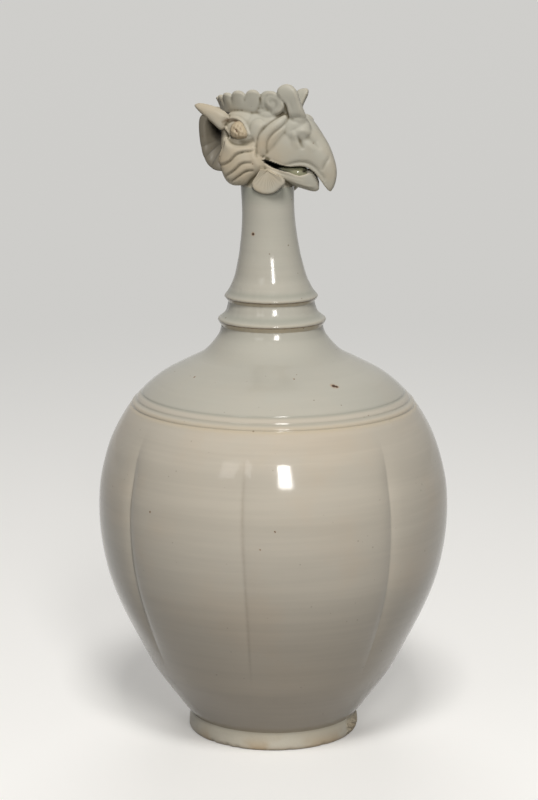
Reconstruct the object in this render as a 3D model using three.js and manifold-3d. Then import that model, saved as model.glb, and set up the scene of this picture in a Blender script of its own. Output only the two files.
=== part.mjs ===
// A phoenix-headed ewer in glazed stoneware, built from its thrown and modelled clay pieces.
// Millimetres, +Z up, origin at the middle of the foot's rest face, beak towards +X.
// The bird's right side is -Y and its left side is +Y.
import * as THREE from 'three';
import { mergeVertices } from 'three/addons/utils/BufferGeometryUtils.js';
import Module from 'manifold-3d';

const wasm = await Module();
wasm.setup();

// Driving dimensions of the thrown pieces
const wall = 5;
const footHeight = 11;
const footRadius = 51.3;
const footTaper = 0.9;
const footWidth = 8;
const footRecess = 7;
const footBevel = 0.8;
const bellyRadius = 105;
const bellyHeight = 142;
const seamBelowBelly = 14;
const shoulderRadius = 61;
const shoulderHeight = 222;
const floorThickness = 8;
const grooveCount = 3;
const grooveSpacing = 3.4;
const topGrooveBelowShoulder = 13.9;
const grooveDepth = 0.9;
const grooveHalfWidth = 1.1;

// Driving dimensions of the neck: each piece stands on the one below
const neckRootRise = 7;
const neckBaseLength = 19;
const collarSeatRadius = 30;
const collarWall = 5.3;
const lowerFlange = { overhang: 1.9, rise: 3.9 };
const lowerCollarLength = 14.5;
const waistRadius = 25.4;
const upperFlange = { overhang: 2.2, rise: 3.4 };
const upperCollarLength = 9.5;
const neckFootRadius = 23.6;
const neckLength = 59;
const neckTopRadius = 14.5;
const neckBoreRadius = 9.3;
const neckLean = 0.037;

// Driving dimensions of the lobes: the furrows are drawn by hand, so their spacing varies
const furrowAngles = [17.5, 60.3, 103.2, 146, 188.9, 231.7, 276.6, 327.6];
const furrowDepth = 1.9;
const furrowBelowGroove = 3.7;
const furrowAboveFoot = 53;
const furrowRunOut = 45;
const furrowRunIn = 8;
const furrowSpread = 3.6;

// Driving dimensions of the head, measured from the middle of the neck's top
const luteGap = 0.3;
const throatRadius = 14.6;
const throatBoreRadius = 8.6;
const throatTop = 21;
const chamber = { centre: [-7.2, 0, 24], radii: [14, 11.5, 13] };
const fillingHole = { x: -8.2, radius: 8.2 };
const mouthPassage = { height: 12.6, halfWidth: 7, halfHeight: 3.2, length: 24 };
const eye = { x: -12.5, y: 16.6, z: 32.4, radius: 4.9, depth: 3.4 };
const lidRadius = 1.3;
const cereRadius = 1.7;
const crown = { foot: 34, top: 55, peak: -3.5, drop: 4.2, reach: [18, 12.2], wall: 2.4, flareWidth: 3 };
const petalNotches = [14, 42, 71, 97.5, 120.5, 139, 155, 171];
const volute = { x: 6.8, y: 13.6, z: 49.2, radius: 7, foot: 5, thickness: 3, relief: 1.1, turns: 3.4 };
const headTip = 0.148;

// Outlines of the head in side view: each row is a point of the upper edge, a point of the lower
// edge, and the half width between them.
const craniumRails = [
  [[-27.2, 24], [-27.2, 19], 3],
  [[-25.7, 32], [-25.2, 11], 9.5],
  [[-21.2, 39], [-21.2, 5], 13.8],
  [[-13.2, 44], [-14.2, 1.4], 16.4],
  [[-4.2, 45.3], [-8.2, 1], 17.6],
  [[5.8, 45.4], [-4.2, 7], 17.6],
  [[14.8, 44.6], [-1.2, 15.5], 16.4],
];
const upperBeakRails = [
  [[12.2, 45.2], [-3.2, 17.4], 15.4],
  [[22.4, 42.2], [7.6, 13.2], 14.6],
  [[28.4, 37.3], [15.2, 10.8], 12.2],
  [[33.2, 30.2], [21.4, 11], 9.8],
  [[37.2, 23.2], [26.6, 9.8], 7.8],
  [[40, 16.4], [31, 6.6], 5.8],
  [[41.6, 9], [34.6, 2.2], 4],
  [[41, 3], [36.9, -1], 2.5],
  [[39.4, -2], [38.2, -2.6], 0.9],
];
const lowerBeakRails = [
  [[5.8, -0.5], [1.2, 11.4], 14.2],
  [[12.4, 0.8], [9.6, 8.8], 12.8],
  [[18.8, -0.8], [17.2, 6.8], 10.5],
  [[24.8, -2.2], [23.9, 5.5], 7.5],
  [[29.2, -2.6], [28.7, 4.6], 4.4],
  [[31.6, -1.4], [31.4, 2], 1.6],
];
const tongueRails = [
  [[15, 9.2], [15, 5], 5],
  [[18.6, 9.6], [18.6, 4], 5],
  [[22.8, 7.8], [22.8, 3], 3.8],
  [[26.4, 5.2], [26.4, 2.6], 1.8],
  [[28, 3.8], [28, 2.8], 0.7],
];

// Outlines of the right side's plumes, set off the middle plane by a Y of their own
const rightHornRails = [
  [[23.6, 39], [13, 38.6], 2.6, -15.2],
  [[25, 46], [13.4, 44.8], 2.5, -15.2],
  [[24, 52.6], [11.2, 51], 2.2, -16.2],
  [[20.6, 58.2], [10.6, 56.6], 1.8, -16.8],
  [[16.6, 60.6], [14, 60.2], 0.7, -17],
];
const leftHornRails = [
  [[17, 39], [10.4, 38.6], 2.3, -15.2],
  [[17.8, 46.4], [11, 45.6], 2, -15.2],
  [[19.6, 53], [11.4, 52], 1.8, -16.2],
  [[21.2, 58], [12.2, 57.2], 1.7, -16.8],
  [[18.4, 60.4], [15.4, 60], 0.7, -17],
];
const earRails = [
  [[-20.7, 40.8], [-21.7, 31.4], 2.2, -14.6],
  [[-27.2, 44.2], [-27.2, 34], 2, -16.2],
  [[-33.2, 45.4], [-32.8, 39.4], 1.6, -17.2],
  [[-40.2, 45.6], [-39.8, 44.4], 0.6, -18],
];
const cerePath = [[13.4, -11.5, 43.8], [10.4, -15.4, 38], [5, -17.4, 29.5], [-0.2, -17.6, 21], [-2.2, -17, 16.5]];
const lidPath = [[-20.5, -14.6, 37], [-15, -16.4, 38.6], [-9.5, -17, 37.2], [-5.7, -17.6, 32]];

// Fans spread from a hinge, at these angles in degrees, as far as their reaches.
const napeFan = {
  hinge: [-22.6, 31.4],
  angles: [141, 266],
  reaches: [16.4, 15.4, 14.6, 15.6, 18.2, 20.8, 21.6],
  flutes: 7,
  fluteDepth: 0.8,
  stand: 10.4,
  rise: 6.2,
  thickness: 2.4,
  root: 0.12,
};
const wattle = {
  hinge: [6.2, 11.4],
  angles: [205, 345],
  reaches: [9.5, 14.9, 15.4, 14.2, 12.6, 11.6, 9],
  flutes: 6,
  fluteDepth: 0.5,
  stand: 15.8,
  rise: 1.2,
  thickness: 3.2,
  root: 0.12,
};

// Three feather lobes lie like tiles on each cheek, the upper over the lower.
const cheekDepth = -14.5;
const cheekLayers = [
  { x: -11.6, z: 16, reach: 13.6, drop: 7, bulge: 4.6 },
  { x: -11.2, z: 11.6, reach: 12.4, drop: 7.4, bulge: 4.9 },
  { x: -10.8, z: 7.6, reach: 10.8, drop: 7.2, bulge: 5.2 },
];

const glaze = { color: 0xc3beac, roughness: 0.2, metalness: 0 };
const bareClay = { color: 0xc9b79c, roughness: 0.85, metalness: 0 };
const darkGlaze = { color: 0x8f8a72, roughness: 0.2, metalness: 0 };

const bodySeamHeight = bellyHeight - seamBelowBelly;
const topGrooveHeight = shoulderHeight - topGrooveBelowShoulder;
const lowerGrooveHeight = topGrooveHeight - (grooveCount - 1) * grooveSpacing;
const neckRootHeight = shoulderHeight + neckRootRise;
const collarSeatHeight = neckRootHeight + neckBaseLength;
const waistHeight = collarSeatHeight + lowerCollarLength;
const neckFootHeight = waistHeight + upperCollarLength;
const neckTopHeight = neckFootHeight + neckLength;

// The neck and the head lean back a little: each level is shifted along X, and stays level.
function leanAt(height) {
  return -neckLean * Math.max(0, height - neckRootHeight);
}

// The modelled head is built about the middle of the neck's top.
const ewer = new THREE.Group();
const head = new THREE.Group();
head.position.set(leanAt(neckTopHeight), 0, neckTopHeight);
ewer.add(head);

function addPiece(name, geometry, finish = glaze, group = ewer) {
  const mesh = new THREE.Mesh(geometry, new THREE.MeshStandardMaterial(finish));
  mesh.name = name;
  group.add(mesh);
}

// Head pieces are built upright, then the head is tipped to its left: each point sinks by a share of its Y.
function sheared(geometry, share) {
  return geometry.clone().applyMatrix4(new THREE.Matrix4().makeShear(0, 0, 0, share, 0, 0));
}

const tipped = (geometry) => sheared(geometry, -headTip);
const upright = (geometry) => sheared(geometry, headTip);

function addHeadPiece(name, geometry, finish) {
  addPiece(name, tipped(geometry), finish, head);
}

function moveVertices(geometry, move) {
  const position = geometry.attributes.position;
  const point = new THREE.Vector3();
  for (let i = 0; i < position.count; i += 1) {
    point.fromBufferAttribute(position, i);
    move(point);
    position.setXYZ(i, point.x, point.y, point.z);
  }
  return geometry;
}

function leaned(geometry) {
  return moveVertices(geometry, (point) => {
    point.x += leanAt(point.z);
  });
}

// A revolve of [radius, height] pairs about Z
function turned(profile, segments) {
  const points = profile.map(([radius, height]) => new THREE.Vector2(radius, height));
  return new THREE.LatheGeometry(points, segments).rotateX(Math.PI / 2);
}

// The vessel's outer outline is three Bezier curves: foot to belly, belly to shoulder, shoulder to neck.
function bezier(...corners) {
  return new THREE.CubicBezierCurve(...corners.map(([radius, height]) => new THREE.Vector2(radius, height)));
}

const footTopRadius = footRadius - footTaper;
const lowerRise = bellyHeight - footHeight;
const upperRise = shoulderHeight - bellyHeight;
const neckRise = collarSeatHeight - shoulderHeight;
const outline = new THREE.CurvePath();
outline.add(bezier(
  [footTopRadius, footHeight],
  [footTopRadius + 0.38 * lowerRise, footHeight + 0.5 * lowerRise],
  [bellyRadius, bellyHeight - 0.22 * lowerRise],
  [bellyRadius, bellyHeight],
));
outline.add(bezier(
  [bellyRadius, bellyHeight],
  [bellyRadius, bellyHeight + 0.38 * upperRise],
  [shoulderRadius + 0.36 * upperRise, shoulderHeight - 0.22 * upperRise],
  [shoulderRadius, shoulderHeight],
));
outline.add(bezier(
  [shoulderRadius, shoulderHeight],
  [shoulderRadius - 0.8 * neckRise, shoulderHeight + 0.3 * neckRise],
  [collarSeatRadius, collarSeatHeight - 0.25 * neckRise],
  [collarSeatRadius, collarSeatHeight],
));

const outerOutline = outline.getSpacedPoints(240);
const innerOutline = outerOutline.map((point, i) => {
  const before = outerOutline[Math.max(0, i - 1)];
  const after = outerOutline[Math.min(outerOutline.length - 1, i + 1)];
  const along = after.clone().sub(before).normalize();
  return new THREE.Vector2(point.x - wall * along.y, point.y + wall * along.x);
});

function radiusOn(points, height) {
  for (let i = 1; i < points.length; i += 1) {
    if (points[i].y >= height) {
      const share = (height - points[i - 1].y) / (points[i].y - points[i - 1].y);
      return THREE.MathUtils.lerp(points[i - 1].x, points[i].x, share);
    }
  }
  return points[points.length - 1].x;
}

const outerRadius = (height) => radiusOn(outerOutline, height);
const innerRadius = (height) => radiusOn(innerOutline, height);

// Heights between two levels, evenly spaced along the outline
function levels(bottom, top, count) {
  const stretch = outerOutline.filter((point) => point.y > bottom && point.y < top);
  const inside = Array.from({ length: count }, (_, i) => (
    stretch[Math.round(((i + 1) * (stretch.length - 1)) / (count + 1))].y
  ));
  return [bottom, ...inside, top];
}

// Incised grooves take shallow Vs out of the outline.
const grooveHeights = Array.from({ length: grooveCount }, (_, i) => lowerGrooveHeight + i * grooveSpacing);

function grooved(height) {
  const nearest = Math.min(...grooveHeights.map((groove) => Math.abs(height - groove)));
  const depth = grooveDepth * Math.max(0, 1 - nearest / grooveHalfWidth);
  return outerRadius(height) - depth;
}

function shellProfile(outerLevels, innerLevels) {
  const outside = outerLevels.map((height) => [grooved(height), height]);
  const inside = innerLevels.map((height) => [innerRadius(height), height]).reverse();
  return [...outside, ...inside, outside[0]];
}

// Turned shells are pressed into lobes: their vertices gather at the furrows, and each furrow
// sinks between the lower body and the lower groove.
const furrowTop = lowerGrooveHeight - furrowBelowGroove;
const furrowBottom = footHeight + furrowAboveFoot;
const stepsPerLobe = [0, 0.1, 0.34, 0.66, 0.9];
const lobeSegments = furrowAngles.length * stepsPerLobe.length;

function lobeAngle(index) {
  const lobe = Math.floor(index / stepsPerLobe.length) % furrowAngles.length;
  const start = furrowAngles[lobe];
  const next = furrowAngles[(lobe + 1) % furrowAngles.length];
  const width = (next - start + 360) % 360;
  return THREE.MathUtils.degToRad(start + width * stepsPerLobe[index % stepsPerLobe.length]);
}

function furrowAt(angle, height) {
  const fade = THREE.MathUtils.smoothstep(height, furrowBottom, furrowBottom + furrowRunOut)
    * (1 - THREE.MathUtils.smoothstep(height, furrowTop - furrowRunIn, furrowTop));
  const degrees = THREE.MathUtils.radToDeg(angle);
  const sum = furrowAngles.reduce((total, furrow) => {
    const away = Math.abs(((degrees - furrow + 540) % 360) - 180);
    return total + Math.exp(-((away / furrowSpread) ** 2));
  }, 0);
  return furrowDepth * fade * sum;
}

function lobed(geometry) {
  return moveVertices(geometry, (point) => {
    const radius = Math.hypot(point.x, point.y);
    const turn = (Math.atan2(point.y, point.x) + 2 * Math.PI) % (2 * Math.PI);
    const index = Math.round((turn / (2 * Math.PI)) * lobeSegments) % lobeSegments;
    const angle = lobeAngle(index);
    const outside = radius > outerRadius(point.z) - wall / 2;
    const moved = outside ? radius - furrowAt(angle, point.z) : radius;
    point.x = moved * Math.cos(angle);
    point.y = moved * Math.sin(angle);
  });
}

const roundSegments = 32;
const footInnerRadius = footRadius - footWidth;
addPiece('foot_ring', turned([
  [footInnerRadius + footBevel, 0],
  [footRadius - footBevel, 0],
  [footRadius, footBevel],
  [footRadius - 0.3 * footTaper, footHeight / 2],
  [footTopRadius, footHeight],
  [footInnerRadius, footHeight],
  [footInnerRadius, footBevel],
  [footInnerRadius + footBevel, 0],
], roundSegments), bareClay);

const floorInside = footRecess + floorThickness;
const wallStart = floorInside + 3;
addPiece('lower_body', lobed(turned([
  [0, footRecess],
  [footInnerRadius - 4, footRecess],
  [footInnerRadius - 1, footHeight],
  ...levels(footHeight, bodySeamHeight, 5).map((height) => [outerRadius(height), height]),
  ...levels(wallStart, bodySeamHeight, 2).map((height) => [innerRadius(height), height]).reverse(),
  [innerRadius(wallStart) - floorThickness, floorInside],
  [0, floorInside],
], lobeSegments)));

addPiece('upper_body', lobed(turned(shellProfile(
  [...levels(bodySeamHeight, furrowTop, 4), lowerGrooveHeight - grooveHalfWidth, lowerGrooveHeight],
  levels(bodySeamHeight, lowerGrooveHeight, 2),
), lobeSegments)));

addPiece('shoulder', turned(shellProfile(
  [
    lowerGrooveHeight,
    ...grooveHeights.slice(1).flatMap((height) => [height - grooveSpacing / 2, height]),
    topGrooveHeight + grooveHalfWidth,
    ...levels(topGrooveHeight + grooveSpacing, neckRootHeight, 2),
  ],
  levels(lowerGrooveHeight, neckRootHeight, 2),
), lobeSegments));

addPiece('neck_base', leaned(turned(shellProfile(
  levels(neckRootHeight, collarSeatHeight, 4),
  levels(neckRootHeight, collarSeatHeight, 1),
), roundSegments)));

// Each collar is a short sleeve with a lipped flange whose skirt runs up to the sleeve above.
function collar(seat, flange, top) {
  const [seatRadius, seatHeight] = seat;
  const [topRadius, topHeight] = top;
  const flangeRadius = seatRadius + flange.overhang;
  const flangeHeight = seatHeight + flange.rise;
  const fall = flangeRadius - topRadius;
  const rise = topHeight - flangeHeight;
  return turned([
    seat,
    [flangeRadius, flangeHeight],
    [flangeRadius - 0.1 * fall, flangeHeight + 0.12 * rise],
    [topRadius + 0.4 * fall, flangeHeight + 0.34 * rise],
    top,
    [topRadius - collarWall, topHeight],
    [seatRadius - wall, seatHeight],
    seat,
  ], roundSegments);
}

const collarSeat = [collarSeatRadius, collarSeatHeight];
const waist = [waistRadius, waistHeight];
const neckFoot = [neckFootRadius, neckFootHeight];
addPiece('lower_collar', leaned(collar(collarSeat, lowerFlange, waist)));
addPiece('upper_collar', leaned(collar(waist, upperFlange, neckFoot)));

const neckCurve = new THREE.CubicBezierCurve(
  new THREE.Vector2(...neckFoot),
  new THREE.Vector2(neckFootRadius - 5.6, neckFootHeight + 0.25 * neckLength),
  new THREE.Vector2(neckTopRadius - 0.4, neckTopHeight - 0.5 * neckLength),
  new THREE.Vector2(neckTopRadius, neckTopHeight),
);
addPiece('neck', leaned(turned([
  ...neckCurve.getPoints(6).map((point) => [point.x, point.y]),
  [neckBoreRadius, neckTopHeight],
  [neckBoreRadius + 1.2, neckTopHeight - 0.4 * neckLength],
  [neckFootRadius - collarWall, neckFootHeight],
  neckFoot,
], roundSegments)));

// Joining and cutting of closed meshes
function toSolid(geometry) {
  const bare = geometry.clone();
  bare.deleteAttribute('normal');
  bare.deleteAttribute('uv');
  const merged = mergeVertices(bare, 1e-4);
  return new wasm.Manifold(new wasm.Mesh({
    numProp: 3,
    vertProperties: new Float32Array(merged.attributes.position.array),
    triVerts: new Uint32Array(merged.index.array),
  }));
}

function toGeometry(solid) {
  const mesh = solid.getMesh();
  const geometry = new THREE.BufferGeometry();
  geometry.setAttribute('position', new THREE.BufferAttribute(new Float32Array(mesh.vertProperties), 3));
  geometry.setIndex(new THREE.BufferAttribute(new Uint32Array(mesh.triVerts), 1));
  return geometry;
}

// A solid through a row of rings with equal point counts. The ends are flat faces.
function loft(rings) {
  const count = rings[0].length;
  const vertices = rings.flat().flatMap((point) => [point.x, point.y, point.z]);
  const faces = [];
  for (let ring = 0; ring + 1 < rings.length; ring += 1) {
    for (let i = 0; i < count; i += 1) {
      const here = ring * count + i;
      const beside = ring * count + ((i + 1) % count);
      faces.push(here, beside, here + count, beside, beside + count, here + count);
    }
  }
  faces.push(...capFaces(count, 0).reverse());
  faces.push(...capFaces(count, (rings.length - 1) * count));
  const geometry = new THREE.BufferGeometry();
  geometry.setAttribute('position', new THREE.Float32BufferAttribute(vertices, 3));
  geometry.setIndex(faces);
  return signedVolume(geometry) < 0 ? flipped(geometry) : geometry;
}

// An end face: a strip across the ring, from its first half to its second half
function capFaces(count, offset) {
  return Array.from({ length: count / 2 - 1 }, (_, i) => {
    const near = offset + i;
    const far = offset + count - 1 - i;
    return [near, near + 1, far, near + 1, far - 1, far];
  }).flat();
}

function signedVolume(geometry) {
  const position = geometry.attributes.position;
  const corner = (i) => new THREE.Vector3().fromBufferAttribute(position, geometry.index.getX(i));
  let volume = 0;
  for (let i = 0; i < geometry.index.count; i += 3) {
    volume += corner(i).dot(corner(i + 1).cross(corner(i + 2))) / 6;
  }
  return volume;
}

function flipped(geometry) {
  const faces = Array.from(geometry.index.array);
  for (let i = 0; i < faces.length; i += 3) {
    [faces[i + 1], faces[i + 2]] = [faces[i + 2], faces[i + 1]];
  }
  geometry.setIndex(faces);
  return geometry;
}

// A station of a loft that runs between two rails in a plane of constant Y:
// crest and base are the rail points, halfWidth its reach to either side, y its middle plane.
function station([crest, base, halfWidth, y = 0]) {
  return {
    crest: new THREE.Vector3(crest[0], y, crest[1]),
    base: new THREE.Vector3(base[0], y, base[1]),
    halfWidth,
  };
}

function smoothStations(stations, count) {
  const rail = (pick) => new THREE.CatmullRomCurve3(stations.map(pick));
  const crests = rail((entry) => entry.crest);
  const bases = rail((entry) => entry.base);
  const widths = rail((entry) => new THREE.Vector3(entry.halfWidth, 0, 0));
  return Array.from({ length: count + 1 }, (_, i) => ({
    crest: crests.getPoint(i / count),
    base: bases.getPoint(i / count),
    halfWidth: widths.getPoint(i / count).x,
  }));
}

function signedPower(value, power) {
  return Math.sign(value) * Math.abs(value) ** power;
}

const side = new THREE.Vector3(0, 1, 0);

// Rounded section between the rails; grow pushes it out on all sides.
function roundSection({ crest, base, halfWidth }, segments, power, grow) {
  const middle = crest.clone().add(base).divideScalar(2);
  const along = crest.clone().sub(base).divideScalar(2);
  along.setLength(along.length() + grow);
  return Array.from({ length: segments }, (_, i) => {
    const angle = (2 * Math.PI * i) / segments;
    return middle.clone()
      .addScaledVector(along, signedPower(Math.cos(angle), power))
      .addScaledVector(side, (halfWidth + grow) * signedPower(Math.sin(angle), power));
  });
}

// Arched section, like half a pipe: an outer arch over a hollow one.
function archSection({ crest, base, halfWidth }, segments, thickness, hollow, grow) {
  const along = crest.clone().sub(base);
  const foot = base.clone().addScaledVector(along.clone().normalize(), -grow);
  along.setLength(along.length() + 2 * grow);
  const inset = Math.max(0.35 * halfWidth, halfWidth - thickness);
  const arch = (reach, rise) => Array.from({ length: segments + 1 }, (_, i) => {
    const angle = (Math.PI * i) / segments;
    return foot.clone()
      .addScaledVector(side, -reach * Math.cos(angle))
      .addScaledVector(along, rise * Math.sin(angle));
  });
  return [...arch(halfWidth + grow, 1), ...arch(inset, hollow).reverse()];
}

function roundLoft(stations, { steps = 8, segments = 16, power = 0.85, grow = 0 } = {}) {
  const rings = smoothStations(stations, steps).map((entry) => roundSection(entry, segments, power, grow));
  return loft(rings);
}

function archLoft(stations, { steps = 8, segments = 10, thickness = 2.6, hollow = 0.4, grow = 0 } = {}) {
  return loft(smoothStations(stations, steps).map((entry) => (
    archSection(entry, segments, thickness, hollow, grow)
  )));
}

function ellipsoid([x, y, z], [a, b, c], widthSegments = 12, heightSegments = 7) {
  return new THREE.SphereGeometry(1, widthSegments, heightSegments).scale(a, b, c).translate(x, y, z);
}

// An upright or lying round bar
function bar(radius, length, centre, rotation = [Math.PI / 2, 0, 0], segments = 20) {
  return new THREE.CylinderGeometry(radius, radius, length, segments)
    .rotateX(rotation[0])
    .rotateY(rotation[1])
    .rotateZ(rotation[2])
    .translate(...centre);
}

// A coil of clay along a smooth path through points, thinner at its ends
function coil(points, radius, { steps = 12, sides = 8, taper = 0.55 } = {}) {
  const path = new THREE.CatmullRomCurve3(points.map((point) => new THREE.Vector3(...point)));
  const frames = path.computeFrenetFrames(steps, false);
  const rings = Array.from({ length: steps + 1 }, (_, i) => {
    const share = i / steps;
    const thick = radius * (taper + (1 - taper) * Math.sin(Math.PI * share) ** 0.6);
    return Array.from({ length: sides }, (_unused, k) => {
      const angle = (2 * Math.PI * k) / sides;
      return path.getPoint(share)
        .addScaledVector(frames.normals[i], thick * Math.cos(angle))
        .addScaledVector(frames.binormals[i], thick * Math.sin(angle));
    });
  });
  return loft(rings);
}

// The skull's cranium runs from the nape to the slanting face that carries the beak.
const skullSegments = 20;
const craniumStations = craniumRails.map(station);

function throatRing([x, height], [forth, across], grow) {
  return Array.from({ length: skullSegments }, (_, i) => {
    const angle = (2 * Math.PI * i) / skullSegments;
    return new THREE.Vector3(x + (forth + grow) * Math.cos(angle), (across + grow) * Math.sin(angle), height);
  });
}

const throatRun = headTip * throatRadius + 1;
function throatLoft(grow) {
  return loft([
    throatRing([0, -throatRun - grow], [throatRadius, throatRadius], grow),
    throatRing([0.6, 0.43 * throatTop], [throatRadius + 0.8, throatRadius], grow),
    throatRing([0.2, throatTop + grow], [throatRadius, throatRadius - 1], grow),
  ]);
}

function headMass(grow = 0) {
  const last = craniumStations[craniumStations.length - 1];
  const stretched = craniumStations.slice(0, -1).concat([{
    crest: last.crest.clone().add(new THREE.Vector3(grow, 0, -0.6 * grow)),
    base: last.base.clone().add(new THREE.Vector3(grow, 0, -0.6 * grow)),
    halfWidth: last.halfWidth,
  }]);
  const cranium = toSolid(roundLoft(stretched, { steps: 9, segments: skullSegments, power: 0.88, grow }));
  return cranium.add(toSolid(throatLoft(grow)));
}

const neckWiden = 0.6;
const neckRoomLength = 40;
const neckRoom = toSolid(upright(moveVertices(
  bar(neckTopRadius + neckWiden + luteGap, neckRoomLength, [0, 0, -neckRoomLength / 2]),
  (point) => {
    point.x -= neckLean * point.z;
  },
)));
const seat = headMass(luteGap).add(neckRoom);
const boreLength = 40;
const headVoids = toSolid(ellipsoid(chamber.centre, chamber.radii))
  .add(toSolid(bar(throatBoreRadius, boreLength, [0, 0, 0.25 * boreLength])))
  .add(toSolid(bar(fillingHole.radius, boreLength, [fillingHole.x, 0, chamber.centre[2] + boreLength / 2])))
  .add(toSolid(
    bar(1, mouthPassage.length, [mouthPassage.length / 2, 0, 0], [0, 0, Math.PI / 2])
      .scale(1, mouthPassage.halfWidth, mouthPassage.halfHeight)
      .translate(0, 0, mouthPassage.height),
  ));

// The skull's underside is cut flat and level, so that it stands on the neck's top.
const underside = new THREE.BoxGeometry(4 * throatRadius, 4 * throatRadius, 2 * throatRun)
  .translate(0, 0, -throatRun);
const skullMass = toSolid(tipped(toGeometry(headMass()))).subtract(toSolid(underside));
addPiece('skull', toGeometry(skullMass.subtract(headVoids)), glaze, head);

// Pieces luted onto the head are cut to its surface, less the thickness of the lute,
// and crumbs beyond the cut are wiped away.
function luted(geometry, ...neighbours) {
  const cut = [seat, ...neighbours].reduce((solid, room) => solid.subtract(room), toSolid(geometry));
  return largest(cut);
}

function largest(solid) {
  return solid.decompose().reduce((best, part) => (part.volume() > best.volume() ? part : best));
}

const upperBeakStations = upperBeakRails.map(station);
const upperBeak = (hollow, grow = 0) => (
  archLoft(upperBeakStations, { steps: 11, segments: 8, thickness: 3, hollow, grow })
);
addHeadPiece('upper_beak', toGeometry(luted(upperBeak(0.34))));

const lowerBeakStations = lowerBeakRails.map(station);
const lowerBeak = (hollow, grow = 0) => (
  archLoft(lowerBeakStations, { steps: 7, segments: 8, thickness: 2.6, hollow, grow })
);
addHeadPiece('lower_beak', toGeometry(luted(lowerBeak(0.5))));
const beakRoom = toSolid(upperBeak(0.02, luteGap)).add(toSolid(lowerBeak(0.02, luteGap)));

const tongueSolid = luted(
  roundLoft(tongueRails.map(station), { steps: 6, segments: 12 }),
  toSolid(lowerBeak(0.5, luteGap)),
  toSolid(upperBeak(0.34, luteGap)),
);
addHeadPiece('tongue', toGeometry(tongueSolid), darkGlaze);

// Pieces that come in pairs are shaped on the bird's right, at the heights that it has once tipped,
// and mirrored to its left.
function mirrored(geometry) {
  return flipped(geometry.clone().scale(1, -1, 1));
}

function addPair(name, solid, finish) {
  const right = toGeometry(solid);
  addHeadPiece(`${name}_right`, right, finish);
  addHeadPiece(`${name}_left`, mirrored(right), finish);
}

// The crown is an oval wall of petals round the filling hole, flaring outwards. It is highest a
// little before the hole and falls away to the back. Its foot is cut to the skull's surface.
const crownCentre = fillingHole.x + 0.6;
const crownBack = crown.peak - crownCentre + crown.reach[0];
const petalSteps = [0, 0.2, 0.5, 0.8];
const petalEdges = [...petalNotches.map((angle) => -angle).reverse(), ...petalNotches];

function crownSection(start, end, share) {
  const turn = THREE.MathUtils.degToRad(start + (end - start) * share);
  const middle = THREE.MathUtils.degToRad((start + end) / 2);
  const outward = new THREE.Vector3(Math.cos(turn) * crown.reach[0], Math.sin(turn) * crown.reach[1], 0);
  const reach = outward.length();
  outward.normalize();
  const across = Math.hypot(Math.sin(middle) * crown.reach[0], Math.cos(middle) * crown.reach[1]);
  const halfPetal = THREE.MathUtils.degToRad(end - start) * across / 2;
  const bulge = Math.sqrt(1 - (2 * share - 1) ** 2);
  const peakAway = (crownCentre + crown.reach[0] * Math.cos(middle) - crown.peak) / crownBack;
  const top = crown.top - crown.drop * peakAway ** 2 - halfPetal * (1 - bulge);
  const height = top - crown.foot;
  const fullness = 0.9 * bulge;
  const at = (radius, level) => outward.clone().multiplyScalar(radius)
    .add(new THREE.Vector3(crownCentre, 0, level));
  return [
    at(reach - crown.wall, crown.foot),
    at(reach, crown.foot),
    at(reach + 0.35 * crown.flareWidth + fullness, crown.foot + 0.7 * height),
    at(reach + crown.flareWidth + fullness, top - 0.4),
    at(reach + crown.flareWidth - 0.8 * crown.wall, top),
    at(reach - crown.wall + 0.3 * crown.flareWidth, crown.foot + 0.68 * height),
  ];
}

function crownWallGeometry() {
  return ringBand(petalEdges.flatMap((start, i) => {
    const next = petalEdges[(i + 1) % petalEdges.length];
    const end = next > start ? next : next + 360;
    return petalSteps.map((share) => crownSection(start, end, share));
  }));
}

// A closed band: the last section joins the first.
function ringBand(sections) {
  const count = sections[0].length;
  const vertices = sections.flat().flatMap((point) => [point.x, point.y, point.z]);
  const faces = [];
  sections.forEach((section, s) => {
    const next = (s + 1) % sections.length;
    for (let i = 0; i < count; i += 1) {
      const j = (i + 1) % count;
      faces.push(s * count + i, s * count + j, next * count + i);
      faces.push(s * count + j, next * count + j, next * count + i);
    }
  });
  const geometry = new THREE.BufferGeometry();
  geometry.setAttribute('position', new THREE.Float32BufferAttribute(vertices, 3));
  geometry.setIndex(faces);
  return signedVolume(geometry) < 0 ? flipped(geometry) : geometry;
}

const crownSolid = luted(crownWallGeometry());

// A volute is a disc of clay with a spiral ridge on its outer face, drawn down into a foot.
function voluteGeometry(grow = 0) {
  const around = 14;
  const ring = (share, outward, relief) => Array.from({ length: around }, (_, i) => {
    const angle = (2 * Math.PI * i) / around;
    const down = Math.max(0, -Math.sin(angle)) ** 4;
    const reach = share * (volute.radius + volute.foot * down + grow);
    const spiral = Math.abs(Math.cos(Math.PI * (volute.turns * share - angle / (2 * Math.PI))));
    return new THREE.Vector3(
      volute.x + reach * Math.cos(angle),
      -(volute.y + outward + relief * volute.relief * spiral),
      volute.z + reach * Math.sin(angle),
    );
  });
  const half = volute.thickness / 2 + grow;
  const shares = [0.86, 0.7, 0.54, 0.38, 0.24, 0.1];
  return loft([
    ring(0.1, -half, 0),
    ring(0.95, -half, 0),
    ring(1, 0, 0),
    ring(0.96, half, 0.3),
    ...shares.map((share) => ring(share, half, 1)),
  ]);
}

addPair('volute', luted(upright(voluteGeometry())));
const voluteRoom = toSolid(upright(voluteGeometry(luteGap)));
const voluteRooms = voluteRoom.add(toSolid(mirrored(toGeometry(voluteRoom))));
addHeadPiece('crown', toGeometry(largest(crownSolid.subtract(voluteRooms))));

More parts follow.
